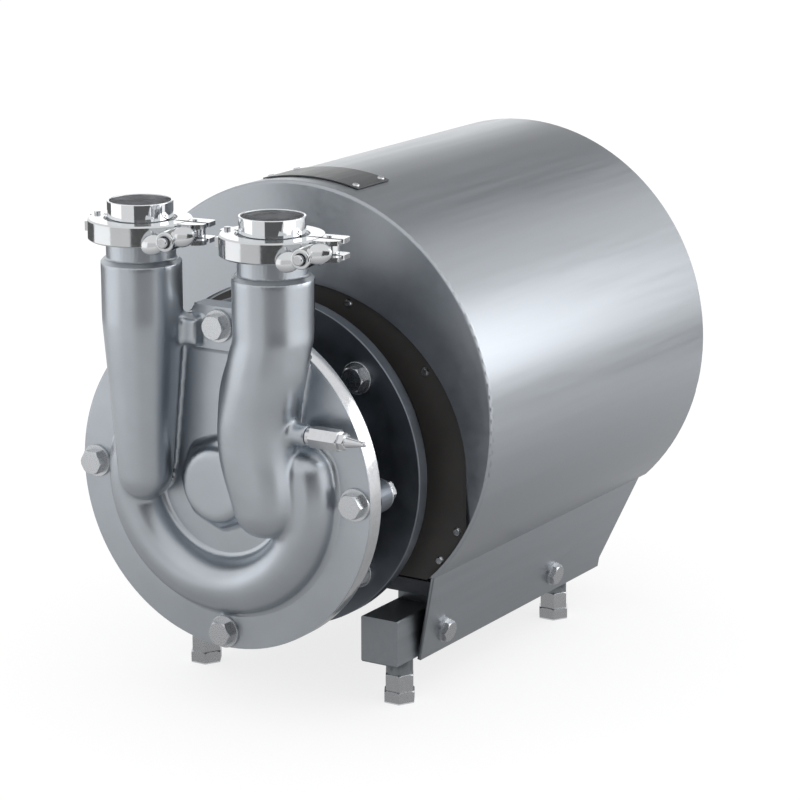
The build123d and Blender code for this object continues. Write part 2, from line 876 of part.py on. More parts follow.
with BuildPart() as shaft:
    add(turned((shaft_front, 0), (shaft_front, thread_radius - 1),
               (shaft_front + 1, thread_radius), (impeller_front + 1, thread_radius),
               (impeller_front + 1, impeller_seat_radius), (impeller_back, impeller_seat_radius),
               (impeller_back, seal_shaft_radius), (seal_hub_back + 4, seal_shaft_radius),
               (seal_hub_back + 4, bearing_journal), (front_bearing_back, bearing_journal),
               (front_bearing_back, bearing_journal + 2.5), (core_front, bearing_journal + 2.5),
               (core_front, core_seat_radius), (core_back, core_seat_radius),
               (core_back, bearing_journal + 2.5), (rear_bearing_front, bearing_journal + 2.5),
               (rear_bearing_front, bearing_journal), (rear_shield_back + 2, bearing_journal),
               (rear_shield_back + 2, fan_seat_radius), (fan_front + fan_width + 4, fan_seat_radius),
               (fan_front + fan_width + 4, 0)))
    with BuildSketch(face_on(key_front + key_length + slide_fit)):
        with Locations((0, key_bottom + key_height / 2)):
            Rectangle(key_width + 2 * slide_fit, key_height + 2 * slide_fit)
    extrude(amount=key_length + 2 * slide_fit, mode=Mode.SUBTRACT)
shaft.part.label = "shaft"
export_step(shaft.part, "parts/shaft.step")

with BuildPart() as rotor_core:
    add(ring(face_on(core_back), core_radius, core_seat_radius + slide_fit, core_length))
rotor_core.part.label = "rotor_core"
export_step(rotor_core.part, "parts/rotor_core.step")

with BuildPart() as fan:
    add(ring(face_on(fan_front + fan_blade_thickness), fan_radius, fan_seat_radius + slide_fit,
             fan_blade_thickness))
    add(ring(face_on(fan_front + fan_width), fan_hub_radius, fan_seat_radius + slide_fit,
             fan_width))
    with BuildSketch(face_on(fan_front + fan_width)):
        with PolarLocations((fan_blade_end + fan_hub_radius) / 2, fan_blade_count):
            Rectangle(fan_blade_end - fan_hub_radius + fan_blade_thickness, fan_blade_thickness)
    extrude(amount=fan_width)
fan.part.label = "fan"
export_step(fan.part, "parts/fan.step")


# Motor: shields, finned frame with cast feet, wound core, bearings, cowl and terminal box

spigot = frame_bore - slide_fit
bearing_seat = bearing_radius + slide_fit
shield_back = frame_front + spigot_length

with BuildPart() as motor_front_shield:
    add(turned((motor_face, shield_hole_radius), (motor_face, motor_flange_radius),
               (motor_face + motor_flange_thickness, motor_flange_radius),
               (motor_face + motor_flange_thickness, shield_radius),
               (frame_front, shield_radius), (frame_front, spigot), (shield_back, spigot),
               (shield_back, spigot - shield_wall), (motor_face + 14, spigot - shield_wall),
               (motor_face + 14, bearing_hub_radius), (front_bearing_back, bearing_hub_radius),
               (front_bearing_back, bearing_seat), (front_bearing_front, bearing_seat),
               (front_bearing_front, shield_hole_radius)))
    with BuildSketch(face_on(motor_face)):
        with Locations(*lantern_bolt_places):
            Circle(cover_bolt_size + slide_fit)
    extrude(amount=-motor_flange_thickness, mode=Mode.SUBTRACT)
motor_front_shield.part.label = "motor_front_shield"
export_step(motor_front_shield.part, "parts/motor_front_shield.step")


def ball_bearing(front):
    """A closed bearing: two races with a shield between them."""
    back = front + bearing_width
    groove = bearing_bore + bearing_race
    rim = bearing_radius - bearing_race
    return turned((front, bearing_bore), (front, groove), (front + 1, groove), (front + 1, rim),
                  (front, rim), (front, bearing_radius), (back, bearing_radius), (back, rim),
                  (back - 1, rim), (back - 1, groove), (back, groove), (back, bearing_bore))


with BuildPart() as front_bearing:
    add(ball_bearing(front_bearing_front))
front_bearing.part.label = "front_bearing"
export_step(front_bearing.part, "parts/front_bearing.step")

with BuildPart() as rear_bearing:
    add(ball_bearing(rear_bearing_front))
rear_bearing.part.label = "rear_bearing"
export_step(rear_bearing.part, "parts/rear_bearing.step")

foot_hole_depths = [motor_face + foot_hole_from_flange,
                    motor_face + foot_hole_from_flange + foot_hole_pitch]
foot_holes = [(side * foot_hole_spread / 2, depth) for side in (-1, 1)
              for depth in foot_hole_depths]
foot_middle = (motor_foot_inside + foot_hole_spread / 2 + motor_foot_outside) / 2
foot_width = foot_hole_spread / 2 + motor_foot_outside - motor_foot_inside

with BuildPart() as motor_housing:
    with BuildSketch(face_on(frame_back)):
        Circle(frame_radius)
        for start in (-40, 140):
            with PolarLocations((frame_radius + rib_radius) / 2 - 1, rib_count, start_angle=start,
                                angular_range=80, endpoint=True):
                Rectangle(rib_radius - frame_radius + 2, rib_thickness)
    extrude(amount=frame_length)
    with BuildSketch(level(-motor_axis_to_feet)):
        for side in (-1, 1):
            for depth in foot_hole_depths:
                with Locations((side * foot_middle, depth)):
                    Rectangle(foot_width, motor_foot_length)
    extrude(amount=motor_foot_thickness)
    with BuildSketch(level(-motor_axis_to_feet)):
        for side in (-1, 1):
            for depth in foot_hole_depths:
                with Locations((side * (motor_foot_inside + foot_leg / 2), depth)):
                    Rectangle(foot_leg, motor_foot_length)
    extrude(amount=motor_axis_to_feet - motor_foot_inside)
    with BuildSketch(level(0)):
        with Locations((0, box_depth)):
            Rectangle(box_seat_width, box_seat_length)
    extrude(amount=box_seat_rise)
    with BuildSketch(face_on(frame_back)):
        Circle(frame_bore)
    extrude(amount=frame_length, mode=Mode.SUBTRACT)
    with BuildSketch(level(0)):
        with Locations((0, box_depth)):
            Circle(wire_hole_radius)
    extrude(amount=box_seat_rise, mode=Mode.SUBTRACT)
    with BuildSketch(level(-motor_axis_to_feet)):
        with Locations(*foot_holes):
            Circle(small_bolt_size + bolt_play)
    extrude(amount=motor_foot_thickness, mode=Mode.SUBTRACT)
motor_housing.part.label = "motor_housing"
export_step(motor_housing.part, "parts/motor_housing.step")

with BuildPart() as stator_core:
    add(ring(face_on(core_back), frame_bore - slide_fit, core_radius + air_gap, core_length))
    add(ring(face_on(core_back + coil_overhang), coil_radius, coil_bore, coil_overhang))
    add(ring(face_on(core_front), coil_radius, coil_bore, coil_overhang))
stator_core.part.label = "stator_core"
export_step(stator_core.part, "parts/stator_core.step")

with BuildPart() as motor_rear_shield:
    add(turned((rear_shield_back, shield_hole_radius), (rear_shield_back, shield_radius),
               (frame_back, shield_radius), (frame_back, spigot),
               (frame_back - spigot_length, spigot),
               (frame_back - spigot_length, spigot - shield_wall),
               (frame_back + 4, spigot - shield_wall), (frame_back + 4, bearing_hub_radius),
               (rear_bearing_front, bearing_hub_radius), (rear_bearing_front, bearing_seat),
               (rear_bearing_back, bearing_seat), (rear_bearing_back, shield_hole_radius)))
motor_rear_shield.part.label = "motor_rear_shield"
export_step(motor_rear_shield.part, "parts/motor_rear_shield.step")

with BuildPart() as fan_cowl:
    cowl_inside = shield_radius + slide_fit
    add(turned((cowl_front, cowl_inside), (cowl_front, cowl_inside + cowl_wall),
               (cowl_back, cowl_inside + cowl_wall), (cowl_back, fan_hub_radius - 4),
               (cowl_back - cowl_wall, fan_hub_radius - 4), (cowl_back - cowl_wall, cowl_inside)))
    with BuildSketch(face_on(cowl_back)):
        for step in range(4):
            with PolarLocations(34 + 17 * step, 12 + 6 * step):
                RectangleRounded(10, 6, 2)
    extrude(amount=cowl_wall, mode=Mode.SUBTRACT)
fan_cowl.part.label = "fan_cowl"
export_step(fan_cowl.part, "parts/fan_cowl.step")

box_top = box_seat_rise + box_height
box_back = box_depth + box_length / 2
gland_rise = box_seat_rise + box_height / 2

with BuildPart() as terminal_box:
    with BuildSketch(level(box_seat_rise)):
        with Locations((0, box_depth)):
            RectangleRounded(box_width, box_length, 6)
    extrude(amount=box_height)
    with BuildSketch(level(box_top)):
        with Locations((0, box_depth)):
            RectangleRounded(box_width - 2 * box_wall, box_length - 2 * box_wall, 4)
    extrude(amount=box_wall - box_height, mode=Mode.SUBTRACT)
    with BuildSketch(level(box_seat_rise)):
        with Locations((0, box_depth)):
            Circle(wire_hole_radius)
    extrude(amount=box_wall, mode=Mode.SUBTRACT)
    with BuildSketch(spot(face_back(box_back), 0, gland_rise)):
        Circle(gland_radius - gland_step + slide_fit)
    extrude(amount=-box_wall, mode=Mode.SUBTRACT)
terminal_box.part.label = "terminal_box"
export_step(terminal_box.part, "parts/terminal_box.step")

with BuildPart() as terminal_lid:
    with BuildSketch(level(box_top)):
        with Locations((0, box_depth)):
            RectangleRounded(box_width, box_length, 6)
    extrude(amount=lid_thickness)
    with BuildSketch(level(box_top)):
        with Locations((0, box_depth)):
            with GridLocations(box_width - 16, box_length - 16, 2, 2):
                Circle(3.2)
    extrude(amount=lid_thickness + 2)
terminal_lid.part.label = "terminal_lid"
export_step(terminal_lid.part, "parts/terminal_lid.step")

with BuildPart() as cable_gland:
    add(hex_prism(spot(face_back(box_back), 0, gland_rise), 2 * gland_radius, gland_length / 2))
    with BuildSketch(spot(face_back(box_back), 0, gland_rise)):
        Circle(gland_radius - gland_step)
    extrude(amount=gland_length)
    with BuildSketch(spot(face_back(box_back), 0, gland_rise)):
        Circle(gland_radius - gland_step)
    extrude(amount=-box_wall - 3)
    with BuildSketch(spot(face_back(box_back + gland_length), 0, gland_rise)):
        Circle(gland_bore_radius)
    extrude(amount=-gland_length - box_wall - 3, mode=Mode.SUBTRACT)
cable_gland.part.label = "cable_gland"
export_step(cable_gland.part, "parts/cable_gland.step")

with BuildPart() as motor_shims:
    with BuildSketch(level(rail_top)):
        for side in (-1, 1):
            for depth in foot_hole_depths:
                with Locations((side * (foot_hole_spread / 2 + motor_foot_outside
                                        - shim_width / 2), depth)):
                    Rectangle(shim_width, motor_foot_length)
        with Locations(*foot_holes):
            Circle(small_bolt_size + bolt_play, mode=Mode.SUBTRACT)
    extrude(amount=shim_thickness)
motor_shims.part.label = "motor_shims"
export_step(motor_shims.part, "parts/motor_shims.step")

foot_bolt_seat = level(motor_foot_thickness - motor_axis_to_feet)

with BuildPart() as motor_foot_bolts:
    for x, depth in foot_holes:
        add(hex_bolt(spot(foot_bolt_seat, x, depth), small_bolt_flats, small_bolt_head,
                     small_bolt_size, motor_foot_thickness + shim_thickness + rail_thread,
                     collar=small_collar_radius))
motor_foot_bolts.part.label = "motor_foot_bolts"
export_step(motor_foot_bolts.part, "parts/motor_foot_bolts.step")


# Shroud: rolled sheet over the motor with front and rear plates and two leaning skirts

skirt_normal = Vector(cos(lean), 0, -sin(lean))


def skirt_spot(depth, rise):
    """Plane on the right skirt's outer face at a depth and a rise, looking outwards."""
    x = crease_x - seam_inset + (rise - crease_rise) * tan(lean)
    return Plane(origin=(x, cover_y + depth, axis_height + rise), x_dir=(0, 1, 0),
                 z_dir=skirt_normal)


def opening(inset):
    """Sketch of the front opening, an elliptic arch with straight sides, less an inset."""
    half = opening_half_width - inset
    with BuildSketch(Plane.XY) as arch:
        Ellipse(half, opening_rise - inset)
        with Locations((0, -shroud_radius / 2)):
            Rectangle(2 * half, shroud_radius)
    return arch.sketch


with BuildPart() as skirt_part:
    down = skirt_drop / cos(lean)
    corner = down * (1 - (skirt_rear_step / skirt_drop))
    with BuildSketch(Plane(origin=(crease_x - seam_inset, cover_y, axis_height + crease_rise),
                           x_dir=(0, 1, 0), z_dir=skirt_normal)):
        with BuildLine():
            Polyline((shroud_front + sheet_bend, seam_lap), (skirt_rear_top, seam_lap),
                     (skirt_rear_bottom, -corner), (skirt_rear_bottom, -down),
                     (shroud_front + sheet_bend, -down), close=True)
        make_face()
    extrude(amount=-sheet)
    for depth in (front_skirt_bolt_depth, rear_skirt_bolt_depth):
        with BuildSketch(skirt_spot(depth, skirt_bolt_rise)):
            Circle(spacer_radius)
        extrude(amount=-spacer_radius)
    with BuildSketch(face_on(0)):
        with Locations((rail_outer / 2, skirt_bottom)):
            Rectangle(rail_outer, 2 * skirt_drop)
    extrude(amount=-2 * shroud_length, mode=Mode.SUBTRACT)
    for depth in (front_skirt_bolt_depth, rear_skirt_bolt_depth):
        with BuildSketch(skirt_spot(depth, skirt_bolt_rise)):
            Circle(small_bolt_size + bolt_play)
        extrude(amount=-skirt_bolt_length, mode=Mode.SUBTRACT)

ring_front = shroud_front + baffle_depth + baffle_thickness
plate_radius = shroud_radius + face_gap


def on_shroud(x, depth, radius):
    """Plane square to the shroud's top at a sideways place, a depth and a radius."""
    angle = asin(x / shroud_radius)
    outward = Vector(sin(angle), 0, cos(angle))
    centre = Vector(0, cover_y + depth, axis_height + shroud_rise)
    return Plane(origin=centre + outward * radius, x_dir=(0, 1, 0), z_dir=outward)


rivet_places = [(sx * (plate_width / 2 - rivet_inset), depth) for sx in (-1, 1)
                for depth in (shroud_front + plate_from_front + rivet_inset,
                              shroud_front + plate_from_front + plate_length - rivet_inset)]

with BuildPart() as shroud:
    with BuildSketch(face_on(shroud_front)):
        with Locations((0, shroud_rise)):
            Circle(shroud_radius)
        with Locations((0, crease_rise - shroud_radius / 2)):
            Rectangle(2 * shroud_radius, shroud_radius, mode=Mode.SUBTRACT)
    extrude(amount=-shroud_length)
    fillet(shroud.edges().filter_by(GeomType.CIRCLE).sort_by(Axis.Y)[0], sheet_bend)
    fillet(shroud.edges().filter_by(GeomType.CIRCLE).sort_by(Axis.Y)[-1], sheet_bend)
    with BuildSketch(face_on(shroud_front + sheet)):
        with Locations((0, shroud_rise)):
            Circle(shroud_radius - sheet)
    extrude(amount=-(shroud_length - 2 * sheet), mode=Mode.SUBTRACT)
    with BuildSketch(face_on(ring_front)):
        with Locations((0, shroud_rise)):
            Circle(shroud_radius - sheet / 2)
        with Locations((0, crease_rise - shroud_radius / 2)):
            Rectangle(2 * shroud_radius, shroud_radius, mode=Mode.SUBTRACT)
        Circle(baffle_ring_bore, mode=Mode.SUBTRACT)
    extrude(amount=-baffle_ring_thickness)
    with BuildSketch(face_on(shroud_front)):
        add(opening(0))
        with Locations((0, shroud_rise)):
            Circle(shroud_radius - sheet, mode=Mode.INTERSECT)
    extrude(amount=-sheet, mode=Mode.SUBTRACT)
    with BuildSketch(face_on(shroud_back - sheet)):
        with Locations((0, shroud_rise)):
            Circle(rear_opening_radius)
    extrude(amount=-sheet, mode=Mode.SUBTRACT)
    with BuildSketch(face_on(shroud_back - sheet)):
        with Locations((0, shroud_rise)):
            with PolarLocations(grille_screw_circle, 6, start_angle=30):
                Circle(grille_screw_radius + slide_fit)
    extrude(amount=-sheet, mode=Mode.SUBTRACT)
    with BuildSketch(face_on(ring_front)):
        for x, rise in baffle_screw_places:
            with Locations((x, rise), (-x, rise)):
                Circle(baffle_screw_radius + slide_fit)
    extrude(amount=-baffle_ring_thickness, mode=Mode.SUBTRACT)
    for x, depth in rivet_places:
        with BuildSketch(on_shroud(x, depth, shroud_radius + 1)):
            Circle(rivet_radius + slide_fit)
        extrude(amount=-sheet - 2, mode=Mode.SUBTRACT)
    add(skirt_part.part)
    add(skirt_part.part.mirror(Plane.YZ))
shroud.part.label = "shroud"
export_step(shroud.part, "parts/shroud.step")

with BuildPart() as skirt_bolts:
    for depth in (front_skirt_bolt_depth, rear_skirt_bolt_depth):
        add(hex_bolt(skirt_spot(depth, skirt_bolt_rise), small_bolt_flats, small_bolt_head,
                     small_bolt_size, skirt_bolt_length, collar=small_collar_radius))
    mirror(about=Plane.YZ)
skirt_bolts.part.label = "skirt_bolts"
export_step(skirt_bolts.part, "parts/skirt_bolts.step")

with BuildPart() as front_baffle:
    with BuildSketch(face_on(shroud_front + baffle_depth)):
        add(opening(baffle_inset))
        with Locations((0, shroud_rise)):
            Circle(shroud_radius - sheet - baffle_edge_gap, mode=Mode.INTERSECT)
        with Locations((0, baffle_bottom - shroud_radius / 2)):
            Rectangle(2 * shroud_radius, shroud_radius, mode=Mode.SUBTRACT)
        Circle(baffle_bore, mode=Mode.SUBTRACT)
        for x, rise in baffle_screw_places:
            with Locations((x, rise), (-x, rise)):
                Circle(baffle_screw_radius + bolt_play, mode=Mode.SUBTRACT)
    extrude(amount=-baffle_thickness)
front_baffle.part.label = "front_baffle"
export_step(front_baffle.part, "parts/front_baffle.step")

with BuildPart() as baffle_screws:
    with BuildSketch(face_on(shroud_front + baffle_depth)):
        for x, rise in baffle_screw_places:
            with Locations((x, rise), (-x, rise)):
                Circle(baffle_screw_radius)
    extrude(amount=-(baffle_thickness + baffle_ring_thickness + 1))
    with BuildSketch(face_on(shroud_front + baffle_depth)):
        for x, rise in baffle_screw_places:
            with Locations((x, rise), (-x, rise)):
                Circle(baffle_screw_head_radius)
    extrude(amount=baffle_screw_head, taper=30)
baffle_screws.part.label = "baffle_screws"
export_step(baffle_screws.part, "parts/baffle_screws.step")

with BuildPart() as name_plate:
    with BuildSketch(face_on(shroud_front + plate_from_front)):
        with Locations((0, shroud_rise)):
            Circle(plate_radius + plate_thickness)
            Circle(plate_radius, mode=Mode.SUBTRACT)
        with Locations((0, shroud_rise + shroud_radius)):
            Rectangle(plate_width, shroud_radius, mode=Mode.INTERSECT)
    extrude(amount=-plate_length)
    for x, depth in rivet_places:
        with BuildSketch(on_shroud(x, depth, shroud_radius)):
            Circle(rivet_radius + slide_fit)
        extrude(amount=2 * plate_thickness, mode=Mode.SUBTRACT)
name_plate.part.label = "name_plate"
export_step(name_plate.part, "parts/name_plate.step")

with BuildPart() as name_plate_rivets:
    for x, depth in rivet_places:
        head = on_shroud(x, depth, plate_radius + plate_thickness + slide_fit)
        with BuildSketch(head):
            Circle(rivet_head_radius)
        extrude(amount=rivet_head_height, taper=25)
        with BuildSketch(head):
            Circle(rivet_radius)
        extrude(amount=-(sheet + plate_thickness))
name_plate_rivets.part.label = "name_plate_rivets"
export_step(name_plate_rivets.part, "parts/name_plate_rivets.step")

with BuildPart() as rear_grille:
    with BuildSketch(spot(face_on(shroud_back), 0, shroud_rise)):
        Circle(grille_radius)
        for row in range(-grille_rows, grille_rows + 1):
            slot_rise = row * grille_slot_pitch
            slot_end = sqrt(grille_slot_reach**2 - slot_rise**2)
            slot_length = slot_end - grille_middle_web / 2
            for way in (-1, 1):
                with Locations((way * (slot_end + grille_middle_web / 2) / 2, slot_rise)):
                    SlotOverall(slot_length, grille_slot_width, mode=Mode.SUBTRACT)
        with PolarLocations(grille_screw_circle, 6, start_angle=30):
            Circle(grille_screw_radius + bolt_play, mode=Mode.SUBTRACT)
    extrude(amount=-grille_thickness)
rear_grille.part.label = "rear_grille"
export_step(rear_grille.part, "parts/rear_grille.step")

with BuildPart() as rear_grille_screws:
    grille_seat = spot(face_back(shroud_back + grille_thickness), 0, shroud_rise)
    with BuildSketch(grille_seat):
        with PolarLocations(grille_screw_circle, 6, start_angle=30):
            Circle(grille_screw_radius)
    extrude(amount=-(grille_thickness + sheet + 1))
    with BuildSketch(grille_seat):
        with PolarLocations(grille_screw_circle, 6, start_angle=30):
            Circle(1.9 * grille_screw_radius)
    extrude(amount=grille_screw_head, taper=20)
rear_grille_screws.part.label = "rear_grille_screws"
export_step(rear_grille_screws.part, "parts/rear_grille_screws.step")


# Base: two box rails with welded bushes, lock nuts and adjustable feet

foot_depths = {"front": front_foot_depth, "rear": rear_foot_depth}


def rail(side):
    """A box rail, closed in front, with threaded pads for the motor and foot bushes."""
    middle = (rail_front + rail_back) / 2
    with BuildPart() as beam:
        with BuildSketch(level(rail_bottom)):
            with Locations((side * rail_centre, middle)):
                Rectangle(rail_width, rail_back - rail_front)
        extrude(amount=rail_height)
        chamfer(beam.edges().filter_by(Axis.Y), rail_corner)
        with BuildSketch(face_on(rail_back)):
            with Locations((side * rail_centre, (rail_top + rail_bottom) / 2)):
                Rectangle(rail_width - 2 * rail_wall, rail_height - 2 * rail_wall)
        extrude(amount=rail_back - rail_front - rail_wall, mode=Mode.SUBTRACT)
        with BuildSketch(level(rail_top - rail_wall)):
            for depth in foot_hole_depths:
                with Locations((side * foot_hole_spread / 2, depth)):
                    Circle(thread_pad_radius)
        extrude(amount=rail_wall - rail_thread)
        with BuildSketch(level(rail_bottom)):
            for depth in foot_depths.values():
                with Locations((side * foot_spread, depth)):
                    Circle(bush_radius)
        extrude(amount=-bush_length)
        with BuildSketch(level(rail_bottom - bush_length)):
            for depth in foot_depths.values():
                with Locations((side * foot_spread, depth)):
                    Circle(stem_radius + slide_fit)
        extrude(amount=bush_length + rail_wall, mode=Mode.SUBTRACT)
        with BuildSketch(level(rail_top)):
            for depth in foot_hole_depths:
                with Locations((side * foot_hole_spread / 2, depth)):
                    Circle(small_bolt_size + slide_fit)
        extrude(amount=-rail_thread, mode=Mode.SUBTRACT)
        for depth in (front_skirt_bolt_depth, rear_skirt_bolt_depth):
            seat = skirt_spot(depth, skirt_bolt_rise)
            with BuildSketch(seat):
                Circle(small_bolt_size + bolt_play)
            cut = extrude(amount=-(skirt_bolt_length + 2), mode=Mode.PRIVATE)
            add(cut if side > 0 else cut.mirror(Plane.YZ), mode=Mode.SUBTRACT)
    return beam.part


with BuildPart() as left_rail:
    add(rail(-1))
left_rail.part.label = "left_rail"
export_step(left_rail.part, "parts/left_rail.step")

with BuildPart() as right_rail:
    add(rail(1))
right_rail.part.label = "right_rail"
export_step(right_rail.part, "parts/right_rail.step")

lock_nut_bottom = rail_bottom - bush_length - lock_nut_height

with BuildPart() as lock_nuts:
    for side in (-1, 1):
        for depth in foot_depths.values():
            add(hex_prism(spot(level(lock_nut_bottom), side * foot_spread, depth),
                          lock_nut_flats, lock_nut_height, bore=stem_radius + slide_fit))
lock_nuts.part.label = "lock_nuts"
export_step(lock_nuts.part, "parts/lock_nuts.step")


def foot(side, depth):
    """An adjustable foot: a hex head on the floor and a threaded stem."""
    floor = spot(level(-axis_height), side * foot_spread, depth)
    with BuildPart() as leg:
        add(hex_prism(floor, foot_head_flats, foot_head_height))
        with BuildSketch(floor):
            Circle(stem_radius)
        extrude(amount=foot_head_height + stem_length)
        chamfer(leg.faces().sort_by(Axis.Z)[-1].edges(), head_bevel)
    return leg.part


with BuildPart() as foot_front_left:
    add(foot(-1, front_foot_depth))
foot_front_left.part.label = "foot_front_left"
export_step(foot_front_left.part, "parts/foot_front_left.step")

with BuildPart() as foot_front_right:
    add(foot(1, front_foot_depth))
foot_front_right.part.label = "foot_front_right"
export_step(foot_front_right.part, "parts/foot_front_right.step")

with BuildPart() as foot_rear_left:
    add(foot(-1, rear_foot_depth))
foot_rear_left.part.label = "foot_rear_left"
export_step(foot_rear_left.part, "parts/foot_rear_left.step")

with BuildPart() as foot_rear_right:
    add(foot(1, rear_foot_depth))
foot_rear_right.part.label = "foot_rear_right"
export_step(foot_rear_right.part, "parts/foot_rear_right.step")


# Port fittings: weld ferrules on gaskets, held by hinged clamps with wing nuts

ferrule_top = joint_rise + gasket_thickness / 2 + ferrule_length


def ferrule(side):
    """A short polished tube with a clamp flange."""
    with BuildPart() as tube:
        with BuildSketch(port_plane(side)):
            with BuildLine():
                Polyline(*flange_outline(1, stub_radius, ferrule_top), close=True)
            make_face()
        revolve(axis=port_axis(side))
    return tube.part


with BuildPart() as suction_ferrule:
    add(ferrule(-1))
suction_ferrule.part.label = "suction_ferrule"
export_step(suction_ferrule.part, "parts/suction_ferrule.step")

with BuildPart() as discharge_ferrule:
    add(ferrule(1))
discharge_ferrule.part.label = "discharge_ferrule"
export_step(discharge_ferrule.part, "parts/discharge_ferrule.step")

with BuildPart() as ferrule_gaskets:
    for side in (-1, 1):
        add(ring(port_level(side, joint_rise - gasket_thickness / 2), flange_radius,
                 port_bore_radius + face_gap, gasket_thickness))
ferrule_gaskets.part.label = "ferrule_gaskets"
export_step(ferrule_gaskets.part, "parts/ferrule_gaskets.step")


def bolt_across(side, reach):
    """Plane across an eye bolt at a distance from its pivot, looking along the bolt."""
    level_plane = clamp_level(side)
    along = -level_plane.y_dir
    pivot = level_plane.from_local_coords(Vector(bolt_arm, pivot_back, 0))
    return Plane(origin=pivot + along * reach, x_dir=level_plane.x_dir, z_dir=along)


def clamp_half(side, back):
    """One half of a clamp, back or front, in the clamp's own turned frame."""
    half = clamp_height / 2
    slope = tan(radians(flange_slope))
    groove = flange_radius + face_gap
    groove_half = gasket_thickness / 2 + flange_rim + face_gap
    mouth_half = groove_half + (groove - clamp_bore_radius) * slope
    way = 1 if back else -1
    plane = clamp_level(side)
    upright = Plane(origin=plane.origin, x_dir=plane.x_dir, z_dir=-plane.y_dir)
    own_knuckle = hinge_knuckle_height / 2 - slide_fit
    with BuildPart() as jaw:
        with BuildSketch(clamp_level(side, -half)):
            Circle(clamp_radius)
        extrude(amount=clamp_height)
        chamfer(jaw.edges(), clamp_bevel)
        with BuildSketch(clamp_level(side, -lug_height / 2)):
            with Locations((lug_reach - 15, way * lug_back / 2)):
                RectangleRounded(30, lug_back, 3)
            if not back:
                with Locations((bolt_arm, pivot_back)):
                    Circle(nut_seat_radius - face_gap, mode=Mode.INTERSECT)
        extrude(amount=lug_height)
        with BuildSketch(clamp_level(side, -half)):
            with Locations((0, -way * clamp_radius + way * clamp_gap / 2)):
                Rectangle(3 * clamp_radius, 2 * clamp_radius, mode=Mode.ADD)
        extrude(amount=clamp_height, mode=Mode.SUBTRACT)
        with BuildSketch(clamp_level(side, -half)):
            with Locations((-hinge_arm, 0)):
                Circle(hinge_knuckle_radius + face_gap)
        if back:
            extrude(amount=clamp_height, mode=Mode.SUBTRACT)
            with BuildSketch(clamp_level(side, -half)):
                with Locations((-hinge_arm, 0)):
                    Circle(hinge_knuckle_radius)
                with Locations((-hinge_arm, hinge_knuckle_radius)):
                    Rectangle(2 * hinge_knuckle_radius, 2 * hinge_knuckle_radius)
            extrude(amount=clamp_height)
            with BuildSketch(clamp_level(side, -hinge_knuckle_height / 2)):
                with Locations((-hinge_arm, 0)):
                    Circle(hinge_knuckle_radius + face_gap)
            extrude(amount=hinge_knuckle_height, mode=Mode.SUBTRACT)
        else:
            extrude(amount=clamp_height, mode=Mode.SUBTRACT)
            with BuildSketch(clamp_level(side, -own_knuckle)):
                with Locations((-hinge_arm, 0)):
                    Circle(hinge_knuckle_radius)
                with Locations((-hinge_arm, -hinge_knuckle_radius)):
                    Rectangle(2 * hinge_knuckle_radius, 2 * hinge_knuckle_radius)
            extrude(amount=2 * own_knuckle)
        with BuildSketch(upright):
            with BuildLine():
                Polyline((0, -half - 1), (clamp_bore_radius, -half - 1),
                         (clamp_bore_radius, -mouth_half), (groove, -groove_half),
                         (groove, groove_half), (clamp_bore_radius, mouth_half),
                         (clamp_bore_radius, half + 1), (0, half + 1), close=True)
            make_face()
        revolve(axis=port_axis(side), mode=Mode.SUBTRACT)
        with BuildSketch(clamp_level(side, -half)):
            with Locations((-hinge_arm, 0)):
                Circle(hinge_pin_radius + slide_fit)
        extrude(amount=clamp_height, mode=Mode.SUBTRACT)
        with BuildSketch(clamp_level(side, -half)):
            with Locations((bolt_arm, pivot_back)):
                Circle(pivot_pin_radius + slide_fit)
        extrude(amount=clamp_height, mode=Mode.SUBTRACT)
        if not back:
            with BuildSketch(bolt_across(side, nut_seat_radius - face_gap)):
                Circle(nut_collar_radius + 2 * face_gap)
            extrude(amount=lug_height, mode=Mode.SUBTRACT)
        with BuildSketch(clamp_level(side, -slot_height / 2)):
            with Locations((bolt_arm, pivot_back)):
                Circle(eye_radius + 2 * face_gap)
            with Locations((bolt_arm - eye_bolt_radius - 2 * face_gap + lug_reach / 2, 0)):
                Rectangle(lug_reach, 4 * lug_back)
        extrude(amount=slot_height, mode=Mode.SUBTRACT)
    return jaw.part


with BuildPart() as left_clamp_front:
    add(clamp_half(-1, False))
left_clamp_front.part.label = "left_clamp_front"
export_step(left_clamp_front.part, "parts/left_clamp_front.step")

with BuildPart() as left_clamp_back:
    add(clamp_half(-1, True))
left_clamp_back.part.label = "left_clamp_back"
export_step(left_clamp_back.part, "parts/left_clamp_back.step")

with BuildPart() as right_clamp_front:
    add(clamp_half(1, False))
right_clamp_front.part.label = "right_clamp_front"
export_step(right_clamp_front.part, "parts/right_clamp_front.step")

with BuildPart() as right_clamp_back:
    add(clamp_half(1, True))
right_clamp_back.part.label = "right_clamp_back"
export_step(right_clamp_back.part, "parts/right_clamp_back.step")

with BuildPart() as clamp_pins:
    for side in (-1, 1):
        with BuildSketch(clamp_level(side, -clamp_height / 2)):
            with Locations((-hinge_arm, 0)):
                Circle(hinge_pin_radius)
        extrude(amount=clamp_height + pin_overhang)
        with BuildSketch(clamp_level(side, -lug_height / 2)):
            with Locations((bolt_arm, pivot_back)):
                Circle(pivot_pin_radius)
        extrude(amount=lug_height + pin_overhang / 2)
clamp_pins.part.label = "clamp_pins"
export_step(clamp_pins.part, "parts/clamp_pins.step")


